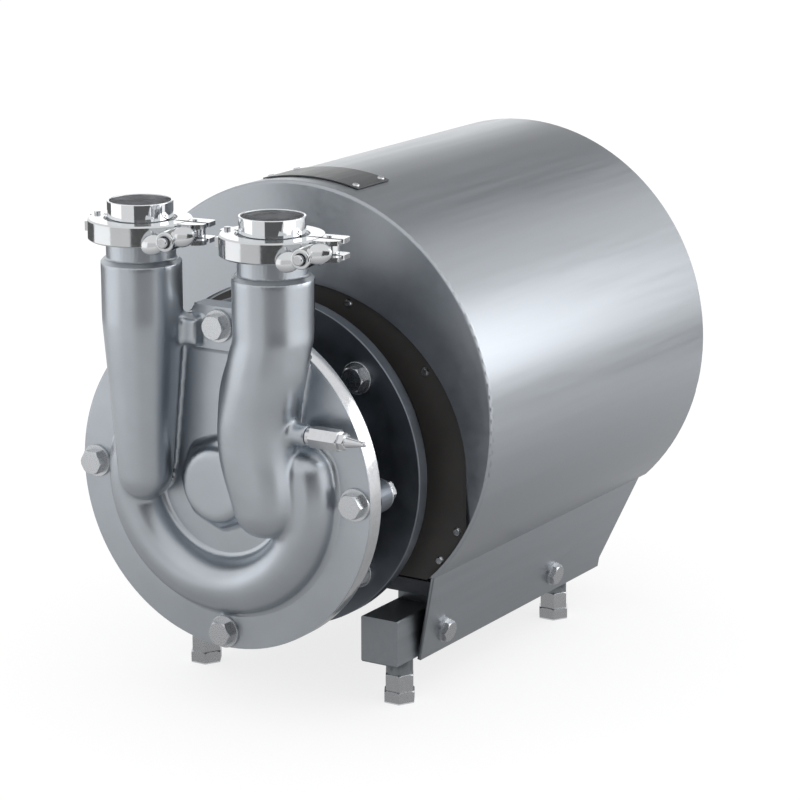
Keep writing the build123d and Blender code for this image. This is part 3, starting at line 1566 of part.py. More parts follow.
def eye_bolt(side):
    """A swing bolt: an eye on the pivot pin and a threaded shank."""
    with BuildPart() as bolt:
        with BuildSketch(bolt_across(side, 0)):
            Circle(eye_bolt_radius)
        extrude(amount=eye_bolt_length)
        end = bolt_across(side, eye_bolt_length)
        chamfer(bolt.faces().sort_by_distance(end.origin)[0].edges(), eye_bolt_chamfer)
        with BuildSketch(clamp_level(side, -eye_thickness / 2)):
            with Locations((bolt_arm, pivot_back)):
                Circle(eye_radius)
        extrude(amount=eye_thickness)
        with BuildSketch(clamp_level(side, -eye_thickness / 2)):
            with Locations((bolt_arm, pivot_back)):
                Circle(pivot_pin_radius + slide_fit)
        extrude(amount=eye_thickness, mode=Mode.SUBTRACT)
    return bolt.part


with BuildPart() as left_eye_bolt:
    add(eye_bolt(-1))
left_eye_bolt.part.label = "left_eye_bolt"
export_step(left_eye_bolt.part, "parts/left_eye_bolt.step")

with BuildPart() as right_eye_bolt:
    add(eye_bolt(1))
right_eye_bolt.part.label = "right_eye_bolt"
export_step(right_eye_bolt.part, "parts/right_eye_bolt.step")


def wing_nut(side):
    """A wing nut: a collar against the lug, a round hub and two flat rounded wings."""
    across = bolt_across(side, nut_seat_radius)
    tilt = radians(wing_tilt)
    seat = Plane(origin=across.origin, z_dir=across.z_dir,
                 x_dir=across.x_dir * cos(tilt) + across.y_dir * sin(tilt))
    hub = seat.offset(nut_collar_length)
    arm = wing_reach - wing_lobe_radius
    with BuildPart() as nut:
        with BuildSketch(seat):
            Circle(nut_collar_radius)
        extrude(amount=nut_collar_length)
        with BuildSketch(hub):
            Circle(nut_hub_radius)
        extrude(amount=nut_hub_length)
        chamfer(nut.edges().filter_by(GeomType.CIRCLE).filter_by(
            lambda edge: edge.radius > nut_hub_radius - 0.1), head_bevel)
        with BuildSketch(seat.offset(wing_seat)):
            for way in (-1, 1):
                with Locations((way * arm, 0)):
                    Circle(wing_lobe_radius)
            Rectangle(2 * arm, 2 * wing_root_radius)
        extrude(amount=wing_thickness)
        with BuildSketch(seat):
            Circle(eye_bolt_radius + slide_fit)
        extrude(amount=nut_collar_length + nut_hub_length, mode=Mode.SUBTRACT)
    return nut.part


with BuildPart() as left_wing_nut:
    add(wing_nut(-1))
left_wing_nut.part.label = "left_wing_nut"
export_step(left_wing_nut.part, "parts/left_wing_nut.step")

with BuildPart() as right_wing_nut:
    add(wing_nut(1))
right_wing_nut.part.label = "right_wing_nut"
export_step(right_wing_nut.part, "parts/right_wing_nut.step")


# Bleed valve: a hex body screwed into the right tube and a bleed screw with a nipple

with BuildPart() as bleed_valve_body:
    with BuildSketch(valve_plane(valve_seat_x)):
        Circle(valve_shank_radius)
    extrude(amount=-valve_shank_length)
    with BuildSketch(valve_plane(valve_seat_x)):
        Circle(valve_flats / 2)
    extrude(amount=valve_neck_length)
    add(hex_prism(valve_plane(valve_seat_x + valve_neck_length), valve_flats,
                  valve_length - valve_neck_length))
    with BuildSketch(valve_plane(valve_seat_x - valve_shank_length)):
        Circle(valve_bore_radius)
    extrude(amount=valve_shank_length + valve_length, mode=Mode.SUBTRACT)
    with BuildSketch(valve_plane(valve_face_x)):
        Circle(bleed_stem_radius + slide_fit)
    extrude(amount=-(bleed_stem_length + 1), mode=Mode.SUBTRACT)
bleed_valve_body.part.label = "bleed_valve_body"
export_step(bleed_valve_body.part, "parts/bleed_valve_body.step")

with BuildPart() as bleed_screw:
    with BuildSketch(valve_plane(valve_face_x)):
        Circle(bleed_stem_radius)
    extrude(amount=-bleed_stem_length)
    add(hex_prism(valve_plane(valve_face_x), bleed_flats, bleed_nut_height))
    nipple_start = valve_face_x + bleed_nut_height
    with BuildSketch(valve_plane(nipple_start)):
        Circle(nipple_base_radius)
    with BuildSketch(valve_plane(nipple_start + nipple_length - nipple_tip_radius)):
        Circle(nipple_tip_radius * 0.8)
    loft()
    with Locations(valve_plane(nipple_start + nipple_length - nipple_tip_radius)):
        Sphere(nipple_tip_radius)
bleed_screw.part.label = "bleed_screw"
export_step(bleed_screw.part, "parts/bleed_screw.step")
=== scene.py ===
import json
import math

import bmesh
import bpy
import numpy as np
from mathutils import Matrix, Vector


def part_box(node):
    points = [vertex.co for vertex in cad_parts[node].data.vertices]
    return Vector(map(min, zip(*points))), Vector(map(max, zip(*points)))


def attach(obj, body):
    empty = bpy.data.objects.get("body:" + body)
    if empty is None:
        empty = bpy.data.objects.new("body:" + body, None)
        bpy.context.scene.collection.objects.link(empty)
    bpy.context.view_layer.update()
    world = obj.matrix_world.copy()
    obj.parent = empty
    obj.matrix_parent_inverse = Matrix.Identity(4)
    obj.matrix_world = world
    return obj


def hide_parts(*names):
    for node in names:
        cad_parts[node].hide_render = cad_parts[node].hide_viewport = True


# Looks of a stainless self-priming pump. Metres, in the CAD model's frame: X right seen from
# the front, Y back along the shaft, Z up from the floor.

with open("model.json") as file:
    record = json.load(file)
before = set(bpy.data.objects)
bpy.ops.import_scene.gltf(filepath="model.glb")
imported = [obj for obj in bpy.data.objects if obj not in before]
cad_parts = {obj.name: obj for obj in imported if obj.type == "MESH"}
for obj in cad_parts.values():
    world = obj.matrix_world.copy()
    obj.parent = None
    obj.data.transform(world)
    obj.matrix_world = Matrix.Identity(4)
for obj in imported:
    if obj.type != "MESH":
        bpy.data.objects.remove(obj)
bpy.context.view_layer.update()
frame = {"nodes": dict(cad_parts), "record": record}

# Places read from the frame
lantern_low, lantern_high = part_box("lantern")
cover_low, cover_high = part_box("front_cover")
shaft_z = (lantern_low.z + lantern_high.z) / 2
cover_thickness = 0.016
cover_face_y = cover_high.y - cover_thickness

# Camera, solved from the photograph
camera_azimuth = 31.756
camera_elevation = 14.188
camera_place = (1.3396, cover_face_y - 1.9031, shaft_z + 0.6530)
camera_lens = 139.52
sensor_width = 36.0

# Ports and ferrules
port_x = 0.061
port_y = cover_face_y - 0.0185
bore_radius = 0.0239
stub_radius = 0.0255
flange_radius = 0.032
flange_rim = 0.00285
flange_slope = 20.0
rim_round = 0.0006
turned_segments = 160


# Meshes

def mesh_piece(name, points, faces, smooth=True):
    """A new object from arrays of points and faces, with its object at the origin."""
    mesh = bpy.data.meshes.new(name)
    mesh.from_pydata(np.asarray(points).tolist(), [], np.asarray(faces).tolist())
    mesh.validate()
    if smooth:
        mesh.shade_smooth()
    piece = bpy.data.objects.new(name, mesh)
    bpy.context.scene.collection.objects.link(piece)
    return piece


def ring_faces(loops, segments):
    """Quads between neighbouring loops of a closed tube, both ways round closed."""
    i, j = np.meshgrid(np.arange(loops), np.arange(segments), indexing="ij")
    up, on = (i + 1) % loops, (j + 1) % segments
    corner = [i * segments + j, i * segments + on, up * segments + on, up * segments + j]
    return np.stack(corner, -1).reshape(-1, 4)


def lathe(name, outline, centre):
    """A closed outline of radii and heights carried round an upright axis: each point is
    (radius cos t, radius sin t, height) for t from nought to a full turn."""
    outline = np.asarray(outline, float)
    t = np.linspace(0, 2 * math.pi, turned_segments, endpoint=False)
    radius, height = outline[:, :1], outline[:, 1:]
    points = np.stack([centre[0] + radius * np.cos(t), centre[1] + radius * np.sin(t),
                       height + 0 * t], -1).reshape(-1, 3)
    return mesh_piece(name, points, ring_faces(len(outline), turned_segments))


def rounded(corners, radius, steps=4):
    """An outline whose corners are replaced by arcs that touch both sides: each arc point is
    a blend of the two touching points and the corner, as on a quadratic curve."""
    corners = np.asarray(corners, float)
    before = np.roll(corners, 1, axis=0) - corners
    after = np.roll(corners, -1, axis=0) - corners
    reach_before = np.minimum(radius, np.linalg.norm(before, axis=1) / 2.2)[:, None]
    reach_after = np.minimum(radius, np.linalg.norm(after, axis=1) / 2.2)[:, None]
    start = corners + before / np.linalg.norm(before, axis=1)[:, None] * reach_before
    end = corners + after / np.linalg.norm(after, axis=1)[:, None] * reach_after
    s = np.linspace(0, 1, steps)[None, :, None]
    arc = (1 - s) ** 2 * start[:, None] + 2 * s * (1 - s) * corners[:, None] + s**2 * end[:, None]
    return arc.reshape(-1, 2)


def soft_copy(node, sharp_angle=32.0, bevel=0.0, segments=2):
    """A copy of a CAD node with shared corners, smooth round faces and small edge rounds."""
    source = frame["nodes"][node]
    piece = bpy.data.objects.new("dressed_" + node, source.data.copy())
    bpy.context.scene.collection.objects.link(piece)
    merge_corners(piece)
    piece.data.shade_smooth()
    piece.data.set_sharp_from_angle(angle=math.radians(sharp_angle))
    if bevel:
        edge_round = piece.modifiers.new("edge_round", "BEVEL")
        edge_round.width = bevel
        edge_round.segments = segments
        edge_round.limit_method = "ANGLE"
        edge_round.angle_limit = math.radians(sharp_angle)
    return steady_normals(piece)


def steady_normals(piece):
    """Lets each point's shading follow the larger faces round it, so that flats stay flat."""
    weigh = piece.modifiers.new("steady", "WEIGHTED_NORMAL")
    weigh.mode = "FACE_AREA_WITH_ANGLE"
    weigh.keep_sharp = True
    apply_modifiers(piece)
    return piece


def merge_corners(piece, distance=1e-6):
    """Joins the corners that loose triangles share."""
    work = bmesh.new()
    work.from_mesh(piece.data)
    bmesh.ops.remove_doubles(work, verts=work.verts, dist=distance)
    work.to_mesh(piece.data)
    work.free()


def apply_modifiers(piece):
    """Bakes a piece's modifiers into its mesh."""
    graph = bpy.context.evaluated_depsgraph_get()
    baked = bpy.data.meshes.new_from_object(piece.evaluated_get(graph))
    piece.modifiers.clear()
    old = piece.data
    piece.data = baked
    bpy.data.meshes.remove(old)


def node_body(node):
    """The CAD body that a node belongs to."""
    bodies = frame["record"]["behaviour"]["bodies"]
    return next(body for body, members in bodies.items() if node in members)


# Shader groups

def new_group(name, inputs, outputs):
    """A shader node group with float or vector inputs and float or colour outputs."""
    group = bpy.data.node_groups.new(name, "ShaderNodeTree")
    for label, kind, value in inputs:
        socket = group.interface.new_socket(label, in_out="INPUT", socket_type=kind)
        socket.default_value = value
    for label, kind in outputs:
        group.interface.new_socket(label, in_out="OUTPUT", socket_type=kind)
    return group, group.nodes.new("NodeGroupInput"), group.nodes.new("NodeGroupOutput")


def link(tree, source, target):
    """Joins an output socket to an input socket."""
    tree.links.new(source, target)


def noise(tree, vector, scale, detail=3.0, roughness=0.55):
    """A noise texture on given coordinates; scale is a number or a socket."""
    node = tree.nodes.new("ShaderNodeTexNoise")
    node.inputs["Detail"].default_value = detail
    node.inputs["Roughness"].default_value = roughness
    link(tree, vector, node.inputs["Vector"])
    if isinstance(scale, (int, float)):
        node.inputs["Scale"].default_value = scale
    else:
        link(tree, scale, node.inputs["Scale"])
    return node.outputs["Fac"]


def spread(tree, value, low, high):
    """Maps a noise value from its usual 0.3 to 0.7 onto low to high."""
    node = tree.nodes.new("ShaderNodeMapRange")
    node.inputs["From Min"].default_value = 0.3
    node.inputs["From Max"].default_value = 0.7
    link(tree, value, node.inputs["Value"])
    for label, limit in (("To Min", low), ("To Max", high)):
        if isinstance(limit, (int, float)):
            node.inputs[label].default_value = limit
        else:
            link(tree, limit, node.inputs[label])
    return node.outputs["Result"]


def maths(tree, operation, a, b):
    """One math node on two numbers or sockets."""
    node = tree.nodes.new("ShaderNodeMath")
    node.operation = operation
    for socket, value in zip(node.inputs, (a, b)):
        if isinstance(value, (int, float)):
            socket.default_value = value
        else:
            link(tree, value, socket)
    return node.outputs[0]


def tint(tree, colour, factor):
    """A colour multiplied by a varying factor."""
    node = tree.nodes.new("ShaderNodeMix")
    node.data_type = "RGBA"
    node.blend_type = "MULTIPLY"
    node.inputs["Factor"].default_value = 1.0
    link(tree, colour, node.inputs[6])
    link(tree, factor, node.inputs[7])
    return node.outputs[2]


def make_grain_group():
    """Bead-blasted or cast skin: broad soft cloudiness and a fine even grain."""
    group, inside, outside = new_group(
        "cast grain",
        [("Colour", "NodeSocketColor", (0.5, 0.5, 0.5, 1)),
         ("Coordinates", "NodeSocketVector", (0, 0, 0)),
         ("Cloud size", "NodeSocketFloat", 18.0), ("Cloud depth", "NodeSocketFloat", 0.1),
         ("Grain size", "NodeSocketFloat", 1500.0), ("Roughness low", "NodeSocketFloat", 0.4),
         ("Roughness high", "NodeSocketFloat", 0.5)],
        [("Colour", "NodeSocketColor"), ("Roughness", "NodeSocketFloat"),
         ("Height", "NodeSocketFloat")])
    cloud = noise(group, inside.outputs["Coordinates"], inside.outputs["Cloud size"])
    grain = noise(group, inside.outputs["Coordinates"], inside.outputs["Grain size"], detail=2.0)
    darker = maths(group, "SUBTRACT", 1.0, inside.outputs["Cloud depth"])
    factor = spread(group, cloud, darker, 1.0)
    link(group, tint(group, inside.outputs["Colour"], factor), outside.inputs["Colour"])
    rough = spread(group, grain, inside.outputs["Roughness low"], inside.outputs["Roughness high"])
    link(group, rough, outside.inputs["Roughness"])
    link(group, grain, outside.inputs["Height"])
    return group


def make_brush_group():
    """Brushed or turned metal: noise drawn out along one direction by the stretch vector."""
    group, inside, outside = new_group(
        "drawn lines",
        [("Colour", "NodeSocketColor", (0.5, 0.5, 0.5, 1)),
         ("Coordinates", "NodeSocketVector", (0, 0, 0)),
         ("Stretch", "NodeSocketVector", (1, 1, 1)), ("Line depth", "NodeSocketFloat", 0.1),
         ("Roughness low", "NodeSocketFloat", 0.25), ("Roughness high", "NodeSocketFloat", 0.35)],
        [("Colour", "NodeSocketColor"), ("Roughness", "NodeSocketFloat"),
         ("Height", "NodeSocketFloat")])
    stretch = group.nodes.new("ShaderNodeVectorMath")
    stretch.operation = "MULTIPLY"
    link(group, inside.outputs["Coordinates"], stretch.inputs[0])
    link(group, inside.outputs["Stretch"], stretch.inputs[1])
    lines = noise(group, stretch.outputs[0], 1.0, detail=4.0, roughness=0.6)
    darker = maths(group, "SUBTRACT", 1.0, inside.outputs["Line depth"])
    link(group, tint(group, inside.outputs["Colour"], spread(group, lines, darker, 1.0)),
         outside.inputs["Colour"])
    rough = spread(group, lines, inside.outputs["Roughness low"], inside.outputs["Roughness high"])
    link(group, rough, outside.inputs["Roughness"])
    link(group, lines, outside.inputs["Height"])
    return group


cast_grain = make_grain_group()
drawn_lines = make_brush_group()


# Materials

bump_height = 0.0002


def base_material(name, metallic, bump):
    """A Principled material with Object coordinates and a bump node."""
    material = bpy.data.materials.new(name)
    material.use_nodes = True
    tree = material.node_tree
    shader = tree.nodes["Principled BSDF"]
    shader.inputs["Metallic"].default_value = metallic
    place = tree.nodes.new("ShaderNodeTexCoord").outputs["Object"]
    if bump:
        node = tree.nodes.new("ShaderNodeBump")
        node.inputs["Strength"].default_value = bump
        node.inputs["Distance"].default_value = bump_height
        link(tree, node.outputs["Normal"], shader.inputs["Normal"])
        return material, tree, shader, place, node.inputs["Height"]
    return material, tree, shader, place, None


def grained(name, colour, roughness, metallic=1.0, cloud=(18.0, 0.1), grain=1500.0, bump=0.1):
    """Cast, blasted, painted or moulded finish made with the cast grain group."""
    material, tree, shader, place, height = base_material(name, metallic, bump)
    group = tree.nodes.new("ShaderNodeGroup")
    group.node_tree = cast_grain
    group.inputs["Colour"].default_value = (*colour, 1)
    group.inputs["Cloud size"].default_value = cloud[0]
    group.inputs["Cloud depth"].default_value = cloud[1]
    group.inputs["Grain size"].default_value = grain
    group.inputs["Roughness low"].default_value = roughness[0]
    group.inputs["Roughness high"].default_value = roughness[1]
    link(tree, place, group.inputs["Coordinates"])
    link(tree, group.outputs["Colour"], shader.inputs["Base Color"])
    link(tree, group.outputs["Roughness"], shader.inputs["Roughness"])
    if height:
        link(tree, group.outputs["Height"], height)
    return material


def drawn(name, colour, roughness, stretch, depth=0.08, bump=0.05, metallic=1.0):
    """Brushed, rolled or turned finish made with the drawn lines group."""
    material, tree, shader, place, height = base_material(name, metallic, bump)
    group = tree.nodes.new("ShaderNodeGroup")
    group.node_tree = drawn_lines
    group.inputs["Colour"].default_value = (*colour, 1)
    group.inputs["Stretch"].default_value = stretch
    group.inputs["Line depth"].default_value = depth
    group.inputs["Roughness low"].default_value = roughness[0]
    group.inputs["Roughness high"].default_value = roughness[1]
    link(tree, place, group.inputs["Coordinates"])
    link(tree, group.outputs["Colour"], shader.inputs["Base Color"])
    link(tree, group.outputs["Roughness"], shader.inputs["Roughness"])
    if height:
        link(tree, group.outputs["Height"], height)
    return material


finishes = {
    "blasted_casting": grained("blasted casting", (0.49, 0.525, 0.565), (0.3, 0.38),
                               cloud=(14.0, 0.14), grain=1400.0, bump=0.12),
    "casing_steel": drawn("dull turned steel", (0.2, 0.22, 0.25), (0.36, 0.46), (60, 60, 60)),
    "fastener_steel": grained("fastener steel", (0.6, 0.615, 0.635), (0.24, 0.34), grain=1200.0,
                              bump=0.04),
    "polished_steel": grained("polished steel", (0.84, 0.86, 0.88), (0.05, 0.09), grain=300.0,
                              cloud=(10.0, 0.04), bump=0.0),
    "clamp_steel": grained("polished cast clamp", (0.66, 0.675, 0.69), (0.1, 0.17), grain=500.0,
                           bump=0.06),
    "bright_steel": drawn("ground steel", (0.66, 0.67, 0.69), (0.12, 0.2), (240, 240, 240), bump=0.01),
    "shroud_steel": drawn("satin sheet", (0.4, 0.425, 0.455), (0.3, 0.37), (160, 6, 160), depth=0.06,
                          bump=0.02),
    "rail_steel": drawn("satin box section", (0.34, 0.365, 0.39), (0.34, 0.44), (160, 8, 160)),
    "motor_aluminium": grained("grey motor frame", (0.09, 0.1, 0.115), (0.42, 0.52), metallic=0.1),
    "motor_paint": grained("grey enamel", (0.08, 0.09, 0.1), (0.35, 0.45), metallic=0.0),
    "baffle_paint": grained("black sheet", (0.05, 0.047, 0.045), (0.4, 0.5), metallic=0.0,
                            cloud=(20.0, 0.3), bump=0.05),
    "plate_dark": drawn("dark bare plate", (0.09, 0.095, 0.1), (0.3, 0.4), (300, 20, 300), metallic=0.6),
    "black_plastic": grained("black plastic", (0.03, 0.03, 0.03), (0.4, 0.5), metallic=0.0),
    "black_rubber": grained("black rubber", (0.02, 0.02, 0.02), (0.6, 0.7), metallic=0.0),
    "gasket_rubber": grained("pale gasket", (0.6, 0.58, 0.54), (0.5, 0.6), metallic=0.0),
    "bore": drawn("honed bore", (0.8, 0.81, 0.83), (0.24, 0.34), (30, 30, 900), bump=0.02),
    "seal_ceramic": grained("fine ceramic", (0.75, 0.73, 0.68), (0.2, 0.3), metallic=0.0),
}
node_slots = {part["node"]: part["material_slot"] for part in frame["record"]["subparts"]}


def dress(piece, node, *more):
    """Gives a piece its finish, its body and the CAD nodes that it stands for."""
    slot = node_slots[node]
    piece.data.materials.clear()
    piece.data.materials.append(finishes[slot])
    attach(piece, node_body(node))
    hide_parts(node, *more)
    return piece


for node, part in frame["nodes"].items():
    part.data.materials.clear()
    part.data.materials.append(finishes[node_slots[node]])


# Front cover: the crisp casting, and a softened skin just inside it that only comes out where
# two forms meet, as the fillet of the mould does

casting_voxel = 0.0015
skin_inset = 0.00035
skin_kept = 0.45
crisp_above = shaft_z + 0.1735
cast_stand = 0.0045
weight_levels = 20

# Right tube's evening: how far sideways, round which rise and how far up and down it fades
top_bend = (0.0054, 0.095, 0.044)
left_of_foot = (0.0048, 0.026, 0.05)
right_of_foot = (0.0025, 0.0, 0.04)

# Turned rim: how far it stands out, how far it laps the face and where the ear breaks it
rim_segments = 180
rim_proud = 0.00004
rim_lap = 0.0012
rim_corner = 0.0003
ear_half_width = 0.0256


def smooth_step(value, low, high):
    """Nought below one limit, one above the other, with no corner between: 3 t^2 - 2 t^3."""
    t = np.clip((value - low) / (high - low), 0, 1)
    return t * t * (3 - 2 * t)


def soft_weights(points):
    """How far each point may soften: full on the cast front, nothing on the back face and the
    turned necks."""
    in_front = 1 - smooth_step(points[:, 1], cover_face_y + 0.004, cover_face_y + 0.008)
    below = 1 - smooth_step(points[:, 2], crisp_above - 0.014, crisp_above - 0.004)
    return in_front * below


def inset_weights(points):
    """How far each point is drawn in: nothing on the raised casting, full on the disc and neck,
    where the crisp surface shows."""
    standing = smooth_step(cover_face_y - points[:, 1], 0.002, 0.006)
    below = 1 - smooth_step(points[:, 2], crisp_above - 0.0015, crisp_above)
    return 1 - standing * below


def swell(rise, bend):
    """One at a bend's rise, nought a reach above and below it, along a raised cosine."""
    middle, reach = bend[1:]
    t = np.clip(np.abs(rise - middle) / reach, 0, 1)
    return 0.5 + 0.5 * np.cos(math.pi * t)


def settle_right_tube(points):
    """Draws the right tube into its long even taper: sideways at the top bend, out to both sides
    at its foot, each by a swell that fades with the rise and off the tube."""
    rise = points[:, 2] - shaft_z
    standing = smooth_step(cover_face_y - points[:, 1], 0.004, 0.014)
    off_tube = smooth_step(points[:, 0], 0.088, 0.098)
    on_tube = smooth_step(points[:, 0], 0.012, 0.026) * (1 - off_tube)
    left_side = 1 - smooth_step(points[:, 0], 0.036, 0.062)
    right_side = 1 - left_side
    shift = top_bend[0] * swell(rise, top_bend)
    shift = shift - left_of_foot[0] * left_side * swell(rise, left_of_foot)
    shift += right_of_foot[0] * right_side * swell(rise, right_of_foot)
    points[:, 0] += shift * standing * on_tube


def set_group(piece, name, weights):
    """Stores weights in a vertex group, rounded to a few levels."""
    group = piece.vertex_groups.new(name=name)
    levels = np.round(weights * weight_levels).astype(int)
    for level in range(1, weight_levels + 1):
        group.add(np.nonzero(levels == level)[0].tolist(), level / weight_levels, "REPLACE")


def mesh_points(mesh):
    """A mesh's points as an array."""
    points = np.zeros(len(mesh.vertices) * 3, np.float32)
    mesh.vertices.foreach_get("co", points)
    return points.reshape(-1, 3)


def crisp_cover():
    """The disc, rim, ear and necks as the CAD has them, without the raised casting."""
    piece = soft_copy("front_cover", bevel=0.0005)
    points = mesh_points(piece.data).astype(float)
    raised = (points[:, 1] < cover_face_y - cast_stand) & (points[:, 2] < crisp_above - 0.002)
    corners = np.zeros(len(piece.data.loops), np.int32)
    piece.data.loops.foreach_get("vertex_index", corners)
    starts = np.zeros(len(piece.data.polygons), np.int32)
    piece.data.polygons.foreach_get("loop_start", starts)
    cast = np.nonzero(np.logical_or.reduceat(raised[corners], starts))[0].tolist()
    work = bmesh.new()
    work.from_mesh(piece.data)
    work.faces.ensure_lookup_table()
    bmesh.ops.delete(work, geom=[work.faces[i] for i in cast], context="FACES")
    work.to_mesh(piece.data)
    work.free()
    return piece


def cast_fillets():
    """The cover's skin remeshed finely, smoothed where it is cast and drawn in a little."""
    piece = soft_copy("front_cover")
    piece.name = "cast_fillets"
    remesh = piece.modifiers.new("even_skin", "REMESH")
    remesh.mode = "VOXEL"
    remesh.voxel_size = casting_voxel
    apply_modifiers(piece)
    points = mesh_points(piece.data)
    set_group(piece, "soft", soft_weights(points))
    set_group(piece, "inset", inset_weights(points))
    settle_right_tube(points)
    piece.data.vertices.foreach_set("co", points.ravel())
    smooth = piece.modifiers.new("soft_junctions", "SMOOTH")
    smooth.factor = 0.5
    smooth.iterations = 48
    smooth.vertex_group = "soft"
    draw_in = piece.modifiers.new("drawn_in", "DISPLACE")
    draw_in.strength = -skin_inset
    draw_in.mid_level = 0.0
    draw_in.vertex_group = "inset"
    thin = piece.modifiers.new("thinned", "DECIMATE")
    thin.ratio = skin_kept
    apply_modifiers(piece)
    piece.data.shade_smooth()
    return piece


def turned_rim():
    """The bright turned edge of the cover, all round but for its ear: a thin band whose points
    are (radius cos t, depth, radius sin t)."""
    radius = (cover_high.x - cover_low.x) / 2 + rim_proud
    ear_half_angle = math.asin(ear_half_width / radius)
    t = np.linspace(math.pi / 2 + ear_half_angle, math.pi * 5 / 2 - ear_half_angle, rim_segments)
    profile = [(radius - rim_lap, cover_face_y - 0.00002),
               (radius - rim_corner, cover_face_y + rim_corner),
               (radius, cover_face_y + rim_lap), (radius, cover_high.y - 0.0006)]
    r, depth = np.array(profile).T
    points = np.stack([r[:, None] * np.cos(t), depth[:, None] + 0 * t,
                       shaft_z + r[:, None] * np.sin(t)], -1).reshape(-1, 3)
    i, j = np.meshgrid(np.arange(len(profile) - 1), np.arange(rim_segments - 1), indexing="ij")
    corner = i * rim_segments + j
    faces = np.stack([corner, corner + rim_segments, corner + rim_segments + 1, corner + 1], -1)
    return mesh_piece("turned_rim", points, faces.reshape(-1, 4))


dress(crisp_cover(), "front_cover")
for extra, extra_slot in ((turned_rim(), "bright_steel"), (cast_fillets(), "blasted_casting")):
    extra.data.materials.append(finishes[extra_slot])
    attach(extra, "base")


# Ferrules: mirror polished tubes with small rounds on every edge

def ferrule_piece(name, node, side):
    """Outline of the ferrule, from the gasket face up the flange and tube, carried round."""
    low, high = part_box(node)
    slope_end = low.z + flange_rim + (flange_radius - stub_radius) * math.tan(
        math.radians(flange_slope))
    corners = [(bore_radius, low.z), (flange_radius, low.z), (flange_radius, low.z + flange_rim),
               (stub_radius, slope_end), (stub_radius, high.z), (bore_radius, high.z)]
    piece = lathe(name, rounded(corners, rim_round), (side * port_x, port_y))
    dress(steady_normals(piece), node)
    piece.data.materials.append(finishes["bore"])
    middles = np.zeros(len(piece.data.polygons) * 3, np.float32)
    piece.data.polygons.foreach_get("center", middles)
    from_axis = middles.reshape(-1, 3)[:, :2] - (side * port_x, port_y)
    in_bore = np.linalg.norm(from_axis, axis=1) < bore_radius + rim_round / 2
    piece.data.polygons.foreach_set("material_index", in_bore.astype(np.int32))
    return piece


ferrule_piece("suction_stub", "suction_ferrule", -1)
ferrule_piece("discharge_stub", "discharge_ferrule", 1)


# Wing nuts: cast in one with long rounded wings and a drum-shaped hub

nut_collar_radius = 0.006
nut_collar_length = 0.009
nut_hub_radius = 0.0078
nut_end = 0.032
nut_bore = 0.0044
wing_middle = 0.0255
wing_centre = 0.0135
wing_half_length = 0.0104
wing_half_width = 0.0078
wing_half_thickness = 0.0046
wing_segments = 40
drum_segments = 48
nut_voxel = 0.00055


def wing_lobe(way):
    """A long rounded wing. Points are the middle of the wing plus its half length, half width
    and half thickness times the parts of a unit vector that has turns u round and v up."""
    u = np.linspace(0, 2 * math.pi, wing_segments, endpoint=False)
    v = np.linspace(-math.pi / 2, math.pi / 2, wing_segments // 2 + 1)[1:-1]
    vv, uu = np.meshgrid(v, u, indexing="ij")
    along = way * (wing_centre + wing_half_length * np.cos(vv) * np.cos(uu))
    across = wing_half_width * np.cos(vv) * np.sin(uu)
    out = wing_middle + wing_half_thickness * np.sin(vv)
    points = np.stack([along, across, out], -1).reshape(-1, 3)
    ends = [[way * wing_centre, 0, wing_middle - wing_half_thickness],
            [way * wing_centre, 0, wing_middle + wing_half_thickness]]
    rows = ring_faces(len(v), wing_segments)[:-wing_segments]
    j = np.arange(wing_segments)
    on, last = (j + 1) % wing_segments, (len(v) - 1) * wing_segments
    low, high = len(points), len(points) + 1
    caps = np.concatenate([np.stack([j * 0 + low, on, j], -1),
                           np.stack([j * 0 + high, last + j, last + on], -1)])
    return np.concatenate([points, ends]), (rows, caps)


def nut_drum():
    """The collar and the hub round their bore: an outline of radius and height carried round."""
    outline = rounded([(nut_bore, 0), (nut_collar_radius, 0), (nut_collar_radius, nut_collar_length),
                       (nut_hub_radius, nut_collar_length), (nut_hub_radius, nut_end),
                       (nut_bore, nut_end)], 0.0012)
    t = np.linspace(0, 2 * math.pi, drum_segments, endpoint=False)
    r, h = outline[:, :1], outline[:, 1:]
    points = np.stack([r * np.cos(t), r * np.sin(t), h + 0 * t], -1).reshape(-1, 3)
    return points, (ring_faces(len(outline), drum_segments),)


def cast_wing_nut(name, node, joint_name):
    """Drum and wings run together as one casting, set on the nut's own turning axis."""
    joint = next(j for j in frame["record"]["behaviour"]["joints"] if j["name"] == joint_name)
    outward, seat = Vector(joint["axis"]), Vector(joint["pos_m"])
    mesh = frame["nodes"][node].data
    arms = mesh_points(mesh).astype(float) - np.array(seat)
    away = arms - np.outer(arms @ np.array(outward), np.array(outward))
    tip = mesh.vertices[int(np.linalg.norm(away, axis=1).argmax())].co - seat
    wing_way = tip - outward * tip.dot(outward)
    wing_way.normalize()
    turn = np.array([wing_way, outward.cross(wing_way), outward])
    points, faces = [], []
    for part_points, part_faces in (nut_drum(), wing_lobe(1), wing_lobe(-1)):
        start = sum(map(len, points))
        points.append(part_points @ turn + np.array(seat))
        for block in part_faces:
            faces += (block + start).tolist()
    mesh = bpy.data.meshes.new(name)
    mesh.from_pydata(np.concatenate(points).tolist(), [], faces)
    piece = bpy.data.objects.new(name, mesh)
    bpy.context.scene.collection.objects.link(piece)
    skin = piece.modifiers.new("one_casting", "REMESH")
    skin.mode = "VOXEL"
    skin.voxel_size = nut_voxel
    melt = piece.modifiers.new("melted", "SMOOTH")
    melt.factor = 0.5
    melt.iterations = 10
    apply_modifiers(piece)
    piece.data.shade_smooth()
    return dress(piece, node)


cast_wing_nut("cast_left_wing_nut", "left_wing_nut", "left_nut_turn")
cast_wing_nut("cast_right_wing_nut", "right_wing_nut", "right_nut_turn")


